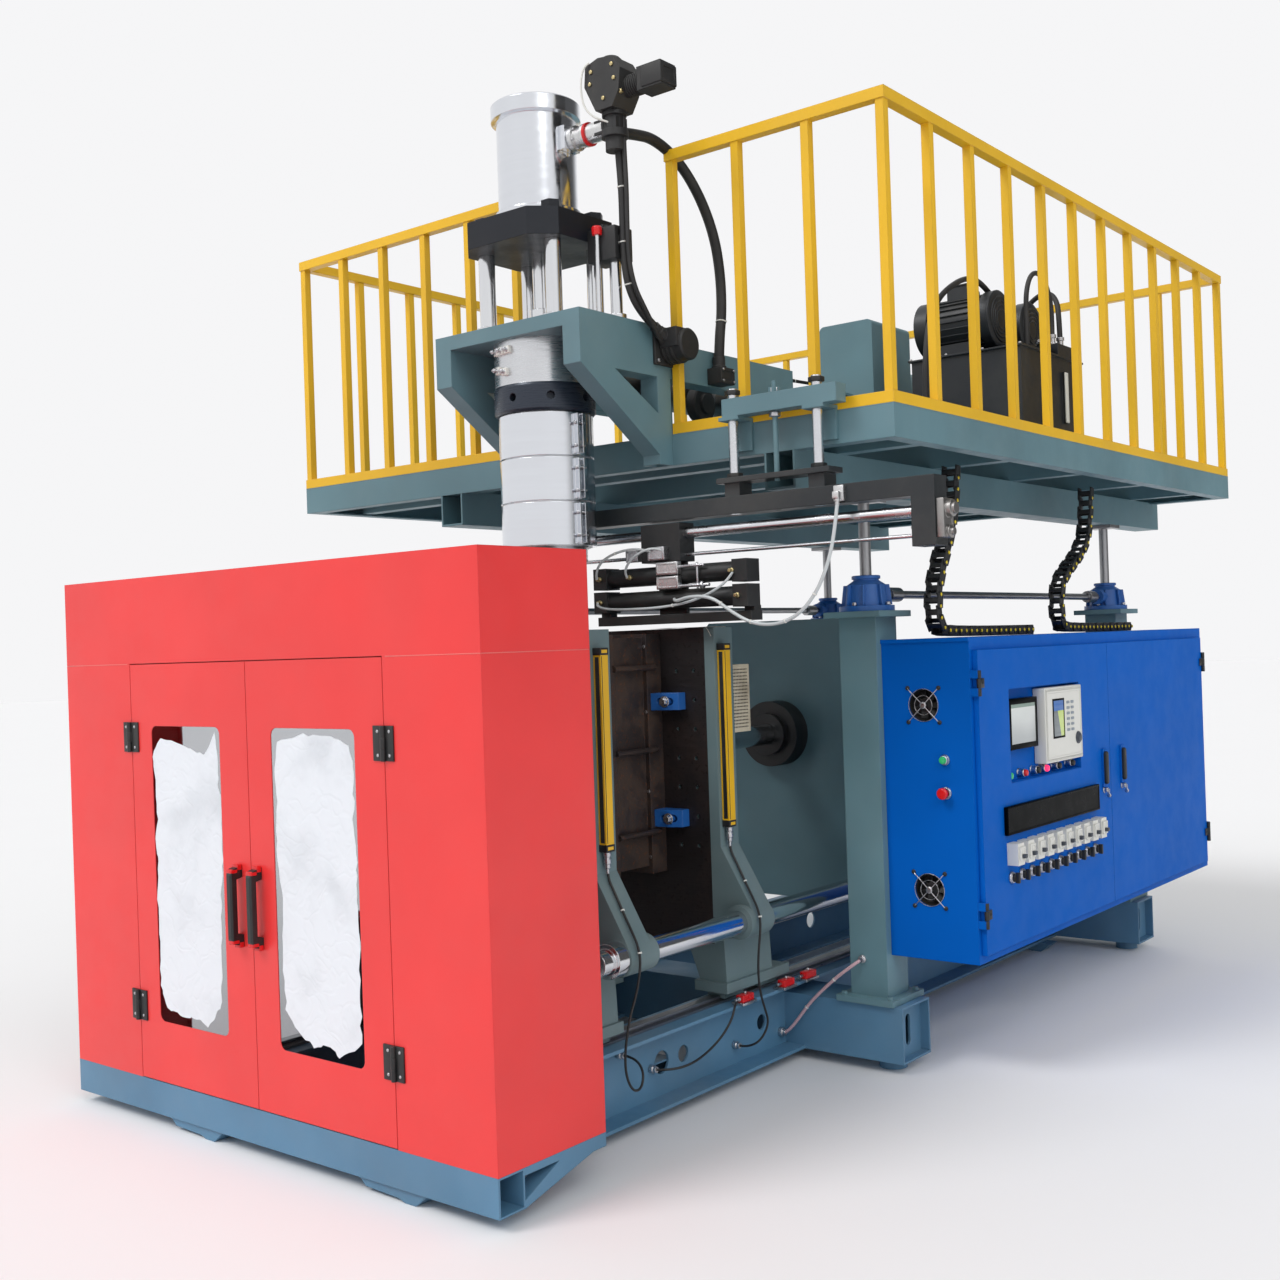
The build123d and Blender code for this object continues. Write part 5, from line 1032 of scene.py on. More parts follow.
def swung(part: Piece, degrees: float, spot: Point = (0, 0, 0), about: str = "Z") -> Piece:
    """Turns a part about an axis through the origin and then moves it to a spot in millimetres."""
    turn = Matrix.Rotation(math.radians(degrees), 4, about)
    return copies(part, [Matrix.Translation(Vector(spot) * MM) @ turn])[0]


def round_spots(count: int, radius: float, offset: float) -> list[tuple[float, float]]:
    """Returns evenly spaced spots on a circle, with the first at an offset in degrees."""
    angles = [math.radians(360 / count * turn + offset) for turn in range(count)]
    return [(radius * math.cos(angle), radius * math.sin(angle)) for angle in angles]


def join(*parts: Piece) -> Piece:
    """Joins parts into the first one, which is left active and selected.

    Args:
        parts: The parts.

    Returns:
        The first one, with the others in it.
    """
    clear()
    for part in parts:
        part.select_set(True)
    bpy.context.view_layer.objects.active = parts[0]
    if len(parts) > 1:
        bpy.ops.object.join()
    return parts[0]


def thicken(piece: Piece, thickness: float) -> None:
    """Gives a sheet its thickness in millimetres.

    Args:
        piece: The sheet.
        thickness: Its thickness.
    """
    join(piece)
    solid = piece.modifiers.new("thickness", "SOLIDIFY")
    solid.thickness = thickness * MM
    bpy.ops.object.modifier_apply(modifier=solid.name)


def dress(name: str, finish: str, body: str, *parts: Piece, slot: str = "", stood: str = "",
          angle: float = 32.0) -> Piece:
    """Joins parts into one named piece with its finish and body.

    Args:
        name: The piece's name.
        finish: Its finish.
        body: The body it rides on, or nothing where it spans two bodies and rides on neither.
        parts: The parts of the piece.
        slot: Not used.
        stood: The CAD node that it stands for.
        angle: Faces that meet at less than this many degrees are shaded smooth.

    Returns:
        The finished piece.
    """
    piece = join(*parts)
    piece.name = piece.data.name = name
    Palette.put(piece, finish)
    bpy.ops.object.shade_smooth_by_angle(angle=math.radians(angle))
    if body:
        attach(piece, body)
    if stood:
        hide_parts(stood)
    LOG.info("piece %s: %d faces on %s", name, len(piece.data.polygons), body or "two bodies")
    return piece


def route_points(name: str, points: Sequence[Point], fine: int) -> tuple[Piece, list[Vector]]:
    """Draws the smooth line of a route and reads it.

    Args:
        name: The curve's name.
        points: Control points in millimetres.
        fine: Steps between two points.

    Returns:
        The curve object and the points along it, in metres.
    """
    curve = bpy.data.curves.new(name, "CURVE")
    curve.dimensions = "3D"
    spline = curve.splines.new("NURBS")
    spline.points.add(len(points) - 1)
    for knot, spot in zip(spline.points, points):
        knot.co = (*(value * MM for value in spot), 1.0)
    spline.order_u = 3
    spline.use_endpoint_u = True
    curve.resolution_u = spline.resolution_u = fine
    line = bpy.data.objects.new(name, curve)
    bpy.context.scene.collection.objects.link(line)
    bpy.context.view_layer.update()
    mesh = bpy.data.meshes.new_from_object(line.evaluated_get(bpy.context.evaluated_depsgraph_get()))
    spots = [vertex.co.copy() for vertex in mesh.vertices]
    bpy.data.meshes.remove(mesh)
    return line, spots


@dataclass(frozen=True)
class Hose:
    """A free hose or cable, in millimetres. Both of its ends go into the machine."""

    name: str
    diameter: float
    length: float
    points: tuple[Point, ...]
    finish: str = "black_rubber"
    body: str = "platform"
    stiffness: str = "medium"
    moves: tuple[str, str, Point, Point] | None = None
    ties: tuple[float, ...] = ()

    def build(self) -> None:
        """Lays the hose and its ties; where it crosses a joint, both are left as meshes on no body."""
        line, spots = route_points(self.name, self.points, 8)
        line.data.bevel_depth = self.diameter / 2 * MM
        line.data.bevel_resolution = 5
        line.data.use_fill_caps = True
        Palette.put(line, self.finish)
        belts = [self.belt(spots, share) for share in self.ties]
        if self.moves:
            join(line)
            bpy.ops.object.convert(target="MESH")
            line = bpy.context.view_layer.objects.active
            bpy.ops.object.shade_smooth()
        else:
            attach(line, self.body)
        body = "" if self.moves else self.body
        extras = [dress(f"{self.name}_ties", "pale_plastic", body, *belts)] if belts else []
        if self.moves:
            for piece in (line, *extras):
                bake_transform(piece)
        LOG.info("hose %s", self.name)

    def belt(self, spots: Sequence[Vector], share: float) -> Piece:
        """Makes one tie round the hose.

        Args:
            spots: Points along the hose, in metres.
            share: Where it sits, as a share of the length.

        Returns:
            The tie.
        """
        index = min(max(1, round(share * (len(spots) - 1))), len(spots) - 2)
        reach = self.diameter / 2
        steps = ((0, reach + 0.4), (0.6, reach + 1.4), (4.4, reach + 1.4), (5.0, reach + 0.4))
        band = join(turned((0.0, 0.0, -2.5), steps, sides=16),
                    block((reach, -2.5, -3.0), (reach + 4.5, 2.5, 3.0), 0.6))
        turn = (spots[index + 1] - spots[index - 1]).to_track_quat("Z", "Y").to_matrix().to_4x4()
        return copies(band, [Matrix.Translation(spots[index]) @ turn])[0]


class Detail:
    """A sub-assembly, with its parts and its hoses."""

    hoses: tuple[Hose, ...] = ()

    def parts(self) -> None:
        """Builds the parts."""
        raise NotImplementedError

    def build(self) -> None:
        """Builds the parts and then the hoses."""
        self.parts()
        for hose in self.hoses:
            hose.build()


@dataclass
class GuardDetail(Detail):
    """The torn film on both windows, the handles' ends, the seams' strips with their painted highlight and the
    hinges.
    """

    film_y: float = -3038.6
    wrinkle: float = 1.3
    cell: float = 17.0
    thickness: float = 0.3
    films: tuple[tuple[str, Profile], ...] = (
        ("left", (
            (-804, 1294), (-652, 1268), (-560, 1240), (-502, 1314), (-487, 1197), (-497, 1150), (-478, 1104),
            (-481, 915), (-494, 800), (-500, 690), (-501, 564), (-516, 437), (-589, 372), (-640, 392), (-687, 383),
            (-760, 392), (-819, 400), (-848, 470), (-846, 618), (-849, 760), (-839, 889), (-853, 916), (-836, 1021),
            (-844, 1155), (-849, 1250))),
        ("right", (
            (-186, 1291), (-60, 1316), (69, 1309), (150, 1288), (168, 1200), (160, 1073), (168, 950), (163, 844),
            (170, 700), (164, 558), (165, 425), (66, 372), (20, 400), (-50, 385), (-117, 413), (-181, 478),
            (-190, 628), (-178, 813), (-205, 962), (-191, 1115), (-200, 1210))),
    )
    handles: tuple[tuple[str, float], ...] = (("left", -391.5), ("right", -292.5))
    hinges: tuple[tuple[str, float, int], ...] = (("left", -973.5, -1), ("right", 308.5, 1))
    hinge_heights: tuple[float, float] = (395.0, 1295.0)
    screw: Profile = ((0, 5.2), (1.2, 4.8), (2.2, 3.0))

    def parts(self) -> None:
        """Builds the pieces of both doors."""
        for side, outline in self.films:
            self.film(side, outline)
        for side, x in self.handles:
            ends = [block((x - 14, -3058, z), (x + 14, -3041, z + 18), 3.0) for z in (649, 890)]
            ends += [block((x - 13.6, -3081, z), (x + 13.6, -3056, z + 14), 4.0) for z in (662, 881)]
            dress(f"handle_ends_{side}", "signal_red", f"door_{side}", *ends)
        dress("door_stop", "guard_red", "frame",
              block((-984, -3016.5, 1524), (320, -3008, 1541), 1.5, ((0, 1, 0), 3.0, 1.0)))
        # The seams' thin strips wear a lighter red than the guard: a painted highlight along the panel edges.
        seams = [block((west, front, 1538.4), (east, back, 1541.4), 0.4) for west, east, front, back in (
            (-1369, -984, -3040.9, -3039.6), (320, 699.6, -3040.9, -3039.6), (699.4, 700.9, -3039.6, -2602),
            (-1370.9, -1369.4, -3039.6, -2602))]
        dress("guard_seam_highlights", "seam_highlight_red", "frame", *seams)
        self.hinge_parts()

    def film(self, side: str, outline: Profile) -> None:
        """Cuts one film to its torn outline, divides it and crumples it.

        Args:
            side: The door's side.
            outline: Its corners, across and up.
        """
        clear()
        bpy.ops.mesh.primitive_circle_add(vertices=len(outline) * 5, radius=0.1, fill_type="NGON",
                                          location=(0.0, self.film_y * MM, 0.0), rotation=Y.value)
        piece = settle()
        corners = [Vector((x, 0.0, z)) for x, z in outline]
        for index, corner in enumerate(piece.data.vertices):
            step, share = divmod(index / 5, 1.0)
            spot = corners[int(step) % len(corners)].lerp(corners[(int(step) + 1) % len(corners)], share)
            ragged = noise.noise_vector(spot * 0.031) * 9.0 + noise.noise_vector(spot * 0.11) * 4.0
            corner.co = Vector(((spot.x + ragged.x) * MM, self.film_y * MM, (spot.z + ragged.z) * MM))
        for values, across in zip(zip(*outline), ((1.0, 0.0, 0.0), (0.0, 0.0, 1.0))):
            for cut in range(1, int((max(values) - min(values)) / self.cell)):
                spot = [part * (min(values) + cut * self.cell) * MM for part in across]
                pick(piece, lambda middle, normal: True)
                bpy.ops.mesh.bisect(plane_co=spot, plane_no=across, use_fill=False)
                leave()
        for corner in piece.data.vertices:
            swell = noise.fractal(corner.co / MM * 0.009, 0.7, 2.1, 4) * self.wrinkle
            corner.co.y = (self.film_y - swell) * MM
        thicken(piece, self.thickness)
        dress(f"film_{side}", "torn_film", f"door_{side}", piece, angle=60.0)

    def hinge_parts(self) -> None:
        """Builds the black leaves over both sides of each hinge, the doors' knuckles and the screws."""
        plates, plate_screws = [], []
        for side, x, outward in self.hinges:
            leaves, leaf_screws = [], []
            for z in self.hinge_heights:
                for found, screws, near, far, away in ((plates, plate_screws, 5.0, 39.0, 23.0),
                                                       (leaves, leaf_screws, -5.0, -46.0, -26.0)):
                    west, east = sorted((x + outward * near, x + outward * far))
                    found.append(block((west, -3045.2, z - 50), (east, -3039.9, z + 50), 1.2))
                    screws += [turned((x + outward * away, -3045.0, z + rise), self.screw, Y, 14)
                               for rise in (-34, 34)]
                leaves.append(bar((x, -3048, z), 8.7, 34.0, Z, 0.8, 20))
            dress(f"hinge_leaves_{side}", "black_metal", f"door_{side}", *leaves)
            dress(f"hinge_screws_{side}", "bolt_steel", f"door_{side}", *leaf_screws)
        dress("hinge_plates", "black_metal", "frame", *plates)
        dress("hinge_screws", "bolt_steel", "frame", *plate_screws)


@dataclass
class ClampDetail(Detail):
    """The light curtains' lenses, caps and plugs, and what is fixed on the platens."""

    spots: tuple[tuple[float, str], ...] = ((-2328.0, "front"), (-1670.0, "rear"))
    curtain_x: float = 508.0
    low: float = 930.0
    high: float = 1520.0
    plug: Profile = ((0, 9.5), (4, 12.5), (16, 12.5), (17, 10), (22, 10), (23, 12), (38, 12), (40, 9.6),
                     (52, 9.4), (54, 6), (70.4, 5))
    mould_y: float = -1985.0
    mould_half: float = 201.0
    cylinder: Point = (0.0, 24.0, 1150.0)
    paper_size: tuple[float, float] = (285.0, 108.0)
    paper_corner: Point = (215.0, -1707.0, 1602.2)
    paper_thickness: float = 0.4
    paper_edge: float = 236.0
    paper_bend: float = 22.0
    droop: float = 1.05

    def parts(self) -> None:
        """Builds the pieces of both platens."""
        for y, name in self.spots:
            strips, caps, plugs = [], [], []
            for side in (-1, 1):
                x = side * self.curtain_x
                thin = x + side * 14.6
                strips += [
                    block((x - 8, y - 18.9, self.low + 6), (x + 8, y - 17, self.high - 6), 0.5, (FRONT, 2.0, 0.5)),
                    block((thin - 0.8, y - 14, self.low + 4), (thin + 0.8, y - 11, self.high - 4), 0.3)]
                caps += [block((x - 16.6, y - 20, z), (x + 16.6, y + 20, z + 23), 2.0, ((side, 0, 0), 4.0, 0.8))
                         for z in (self.low - 22.6, self.high - 0.4)]
                plugs.append(turned((x, y, self.low - 21), self.plug, toward=-1.0))
            dress(f"curtain_lens_{name}", "black_plastic", f"clamp_{name}", *strips)
            dress(f"curtain_caps_{name}", "black_plastic", f"clamp_{name}", *caps)
            dress(f"curtain_plugs_{name}", "bolt_steel", f"clamp_{name}", *plugs)
        bolts = [bar((x, y, z), radius, length, Y, bevel, sides) for x, z in product((-317, 317), (935, 1345))
                 for y, radius, length, bevel, sides in ((-1776, 14, 12, 1.2, 6), (-1768, 20, 5, 0.8, 24))]
        dress("claw_bolts", "bolt_steel", "clamp_rear", *bolts)
        for back, name in ((-1, "front"), (1, "rear")):
            y = self.mould_y + back * (self.mould_half - 0.5)
            screws = [turned((x, y, z), ((0, 6.5), (5, 6.5), (6, 5.6), (6.2, 3.4)), Y, 16, -back)
                      for x, z in product((-245, 245), (800, 1030, 1310, 1540))]
            dress(f"mould_screws_{name}", "bolt_steel", f"clamp_{name}", *screws, slot="mould_iron")
        self.paper()
        cover = block((404, -1596.4, 1226), (480, -1478, 1466), 2.0, (FRONT, 6.0, 1.0), (EAST, 6.0, 1.0))
        dress("pierced_cover", "stained_cover", "clamp_rear", cover)
        # The cover's holes are not cut: black discs on its face stand for them, painted shade where each hole is dark
        # inside.
        hole = turned((481.0, -1578, 1244), ((0, 2.6), (0.4, 2.4), (0.5, 1.0)), X, 8, -1.0)
        holes = row(hole, *((0, 9.0 * column, 12.0 * line) for column, line in product(range(10), range(18))))
        dress("pierced_hole_shade", "black_plastic", "clamp_rear", *holes)
        x, y, z = self.cylinder
        dress("cylinder_screws", "bolt_steel", "clamp_front",
              *(bar((x + side, y, z + rise), 7, 16, Y) for side, rise in round_spots(12, 127, 15)))

    def paper(self) -> None:
        """Lays the sheet of paper on the rear platen, with its end drooping over the edge."""
        clear()
        wide, deep = self.paper_size
        bpy.ops.mesh.primitive_grid_add(x_subdivisions=38, y_subdivisions=14, size=1.0)
        piece = settle()
        west, front, top = self.paper_corner
        radius = self.paper_bend
        for corner in piece.data.vertices:
            u, v = (corner.co.x + 0.5) * wide, (corner.co.y + 0.5) * deep
            start = self.paper_edge + v * 0.12
            past = max(0.0, u - start)
            turn = min(past / radius, self.droop)
            rest = max(0.0, past - self.droop * radius)
            x = min(u, start) + radius * math.sin(turn) + rest * math.cos(self.droop)
            drop = radius * (1 - math.cos(turn)) + rest * math.sin(self.droop)
            lift = 1.6 * math.sin(u / 31.0) * math.sin(v / 40.0) * (1.0 if past == 0 else 0.3)
            corner.co = Vector((west + x, front + v, top - drop + lift)) * MM
        thicken(piece, self.paper_thickness)
        dress("paper_sheet", "stained_paper", "clamp_rear", piece, angle=60.0)


@dataclass
class ChainDetail(Detail):
    """The two energy chains: side plates, cross bars and yellow pin studs."""

    west: float = 995.0
    east: float = 1055.0
    lie_z: float = 1555.3
    pitch: float = 42.0
    runs: tuple[Point, ...] = ((-930.0, -1110.0, -325.0), (343.0, -20.0, 762.0))
    stud: Profile = ((0, 6.6), (1.6, 6.2), (2.4, 4.2))

    def route(self, top: float, bend: float, lie: float) -> list[Point]:
        """Returns the control points of one chain.

        Args:
            top: Y of its upper end, in millimetres.
            bend: Y of its bend.
            lie: Y of the end that lies on the cabinet.

        Returns:
            The points.
        """
        way = 1.0 if lie > bend else -1.0
        flat = ((top, 2156.0), (top - way * 8, 2050.0), (top - way * 60, 1900.0), (bend + way * 30, 1760.0),
                (bend + way * 6, 1680.0), (bend + way * 4, 1620.0), (bend + way * 26, 1575.0),
                (bend + way * 70, self.lie_z), (lie, self.lie_z))
        return [((self.west + self.east) / 2, y, z) for y, z in flat]

    def link(self, inner: float) -> Piece:
        """Models one link along Y.

        Args:
            inner: How far its plates are moved inward, in millimetres.

        Returns:
            The link.
        """
        half = (self.east - self.west) / 2 - inner
        parts = []
        for side in (-1, 1):
            x = side * (half - 3)
            parts += [block((x - 2.6, -26, -19), (x + 2.6, 26, 19), 2.4, ((side, 0, 0), 5.0, 0.8)),
                      bar((x, 21, 0), 12, 6.4, X, 0.8, 16)]
        parts += [block((5 - half, -9, rise - 2.4), (half - 5, 9, rise + 2.4), 1.2) for rise in (-16.5, 16.5)]
        return join(*parts)

    def parts(self) -> None:
        """Threads the links and studs along both routes."""
        links, studs = [], []
        for run in self.runs:
            line, spots = route_points("chain_route", self.route(*run), 24)
            bpy.data.objects.remove(line)
            places = self.places(spots)
            for shift, inner in ((0, 0.0), (1, 5.6)):
                links += copies(self.link(inner), places[shift::2])
            for side in (1, -1):
                studs += copies(turned((side * 29.6, 21.0, 0.0), self.stud, X, 12, side), places)
        for piece in (dress("chain_links", "black_plastic", "", *links, stood="energy_chains"),
                      dress("chain_studs", "chain_yellow", "", *studs)):
            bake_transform(piece)

    def places(self, spots: Sequence[Vector]) -> list[Matrix]:
        """Spaces the links evenly along a line.

        Args:
            spots: Points along the line, in metres.

        Returns:
            One place for each link.
        """
        steps = [(after - here).length for here, after in zip(spots, spots[1:])]
        whole = sum(steps)
        count = round(whole / (self.pitch * MM))
        found = []
        for number in range(count):
            goal, index = (number + 0.5) * whole / count, 0
            while goal > steps[index] and index < len(steps) - 1:
                goal -= steps[index]
                index += 1
            course = (spots[index + 1] - spots[index]).normalized()
            across = Vector((1.0, 0.0, 0.0))
            frame = Matrix((across, course, across.cross(course))).transposed().to_4x4()
            found.append(Matrix.Translation(spots[index] + course * goal) @ frame)
        return found


@dataclass
class CabinetDetail(Detail):
    """What shows on the control cabinet: screen, programmer, lamps, breakers, switches, fans and locks."""

    face: float = 1220.0
    tray: float = 1178.0
    front: float = -1195.0
    lamps: tuple[tuple[float, str], ...] = (
        (-916.0, "green_lamp"), (-788.0, "signal_red"), (-675.0, "black_plastic"), (-599.0, "red_lamp"),
        (-483.0, "black_plastic"), (-354.0, "black_plastic"))
    breaker_y: float = -966.0
    breaker_pitch: float = 86.0
    breakers: int = 10
    fans: tuple[Point, ...] = ((1020.0, -1195.0, 655.0), (1020.0, -1195.0, 1302.0))
    hinges: tuple[tuple[float, float, str], ...] = ((-1181.0, 1.0, "left"), (1194.0, -1.0, "right"))
    locks: tuple[tuple[float, str], ...] = ((-72.0, "left"), (124.0, "right"))

    def parts(self) -> None:
        """Builds the pieces of the cabinet."""
        self.panel()
        self.rows()
        self.fan_parts()
        self.door_fittings()

    def panel(self) -> None:
        """Builds the screen, the programmer with its keys and dial, the lamps and the dark window."""
        body = "cabinet_left"
        dress("screen_bezel", "black_gloss", body,
              block((self.tray + 4, -925, 1124), (1214, -678, 1307), 3.0, (EAST, 17.0, 2.0)))
        dress("screen_glass", "screen_light", body, block((1211, -907, 1142), (1213.2, -696, 1289), 0.6))
        dress("programmer_case", "pale_plastic", body,
              block((self.tray + 3, -645, 1053), (1230, -297, 1335), 5.0, (EAST, 9.0, -2.5), (EAST, 7.0, 1.5)))
        dress("display_frame", "black_gloss", body,
              block((1230, -580, 1142), (1233, -472, 1291), 1.2, (EAST, 6.0, 1.5)))
        dress("display", "display_chart", body, block((1231, -573, 1149), (1232.2, -479, 1284), 0.4))
        key = block((1229, -448, 1268), (1234, -424, 1278), 1.4, (EAST, 2.0, 0.6))
        dress("programmer_keys", "key_grey", body,
              *row(key, *((0, 40.0 * column, -21.0 * line) for column, line in product(range(2), range(6)))))
        dress("programmer_dial", "key_dark", body, turned(
            (1229, -345, 1132), ((0, 24), (4, 24), (6, 22.5), (6.4, 18), (11, 16.5), (12, 14)), X, 32))
        collar = turned((self.tray + 2, 0, 1034), ((0, 17), (3, 17), (4.5, 15.5), (24, 15), (26, 13)), X)
        dress("lamp_collars", "bolt_steel", body, *row(collar, *((0, y, 0) for y, _ in self.lamps)))
        for number, (y, finish) in enumerate(self.lamps):
            lens = turned((self.tray + 26, y, 1034), ((0, 12.4), (9, 12.0), (12, 10), (13.5, 6)), X)
            dress(f"panel_lens_{number}", finish, body, lens, slot="signal_red")
        dress("controller_window", "black_gloss", body,
              block((self.face + 0.4, -1009, 832), (self.face + 16, -158, 933), 3.0, (EAST, 5.0, 1.2)))

    def rows(self) -> None:
        """Builds the breakers' noses and toggles, and the rotary switches under them."""
        x, y = self.face, self.breaker_y
        for name, finish, *masters in (
            ("breaker_noses", "pale_plastic",
             block((x + 41.8, y - 21, 742), (x + 50, y + 21, 792), 2.5, (EAST, 5.0, 1.5))),
            ("breaker_toggles", "key_dark", block((x + 46, y - 9, 752), (x + 62, y + 9, 766), 2.5)),
            ("switch_collars", "bolt_steel",
             turned((x + 0.2, y, 680), ((0, 21), (5, 21), (7, 19.5), (11, 19), (12, 17)), X)),
            ("switch_grips", "black_plastic", turned((x + 11, y, 680), ((0, 15.5), (8, 15), (9, 13.5)), X),
             block((x + 18, y - 6.5, 661), (x + 34, y + 6.5, 699), 3.0)),
        ):
            shifts = [(0, self.breaker_pitch * number, 0) for number in range(self.breakers)]
            dress(name, finish, "cabinet_left", *(part for master in masters for part in row(master, *shifts)))

    def fan_parts(self) -> None:
        """Builds each fan's dark housing, wires and corner screws, the green lamp and the stop's collar."""
        wires, shells, screws = [], [], []
        for x, y, z in self.fans:
            wires += [swung(bar((0, 0, 0), 1.8, 168, X, 0.5, 8), turn, (x, y - 5, z), "Y") for turn in (45, 135)]
            wires.append(turned((x, y - 1, z), ((0, 12), (6, 12), (8, 9)), Y))
            wires += [ring((x, y - 2, z), radius, 1.3, Y, 40) for radius in (34, 57)]
            cup = turned((x, y + 3.5, z), ((0, 55), (40, 55)), Y, 40, -1.0)
            pick(cup, lambda middle, normal: normal.y < -0.9)
            bpy.ops.mesh.inset(thickness=1.0 * MM, depth=0.0)
            bpy.ops.mesh.inset(thickness=0.2 * MM, depth=-38.5 * MM)
            leave()
            shells.append(cup)
            screws += [turned((x + side, y, z + rise), ((0, 8), (2.5, 8), (3.5, 6.5), (3.6, 5), (7, 4.6), (8, 3)),
                              Y, 16) for side, rise in product((-60, 60), (-60, 60))]
        dress("fan_wires", "bolt_steel", "frame", *wires, stood="fan_guards")
        dress("fan_housings", "black_plastic", "frame", *shells)
        dress("fan_screws", "black_plastic", "frame", *screws)
        y = self.front
        dress("side_collars", "bolt_steel", "frame",
              turned((1095, y - 0.2, 1112), ((0, 19), (4, 19), (6, 17), (13, 16.4), (15.4, 14)), Y),
              turned((1095, y - 0.2, 997), ((0, 22), (4, 22), (6, 20), (9, 19.6)), Y))
        dress("side_lamp", "green_lamp", "frame",
              turned((1095, y - 13, 1112), ((0, 13.4), (8, 13), (12, 10.5), (13.5, 6)), Y))

    def door_fittings(self) -> None:
        """Builds the hinge covers and the locks under the handles."""
        knuckles = []
        for y, inward, name in self.hinges:
            leaves = []
            for z in (579.0, 1376.0):
                knuckles += [bar((1226, y, z + rise), 8.2, 27.4, Z, 1.0, 20) for rise in (-31, 31)]
                near, far = sorted((y + inward * 3.5, y + inward * 43))
                leaves += [block((1223.6, near, z - 16.6), (1226, far, z + 16.6), 0.8),
                           bar((1226, y, z), 8.2, 33.0, Z, 1.0, 20)]
                leaves += [turned((1226, y + inward * spot, z), ((0, 5), (1.4, 4.6), (2.2, 3)), X, 12)
                           for spot in (14, 32)]
            dress(f"cabinet_hinge_{name}", "black_metal", f"cabinet_{name}", *leaves)
        dress("cabinet_knuckles", "black_metal", "frame", *knuckles)
        x = self.face
        for y, name in self.locks:
            dress(f"door_lock_{name}", "bolt_steel", f"cabinet_{name}",
                  turned((x, y, 901), ((0, 13), (3, 13), (4, 10.5), (16, 10), (17, 8.5)), X),
                  block((x + 16, y - 1.2, 884), (x + 24, y + 1.2, 906), 0.8),
                  bar((x + 20, y, 879), 9, 2.6, Y, 0.7, 16))


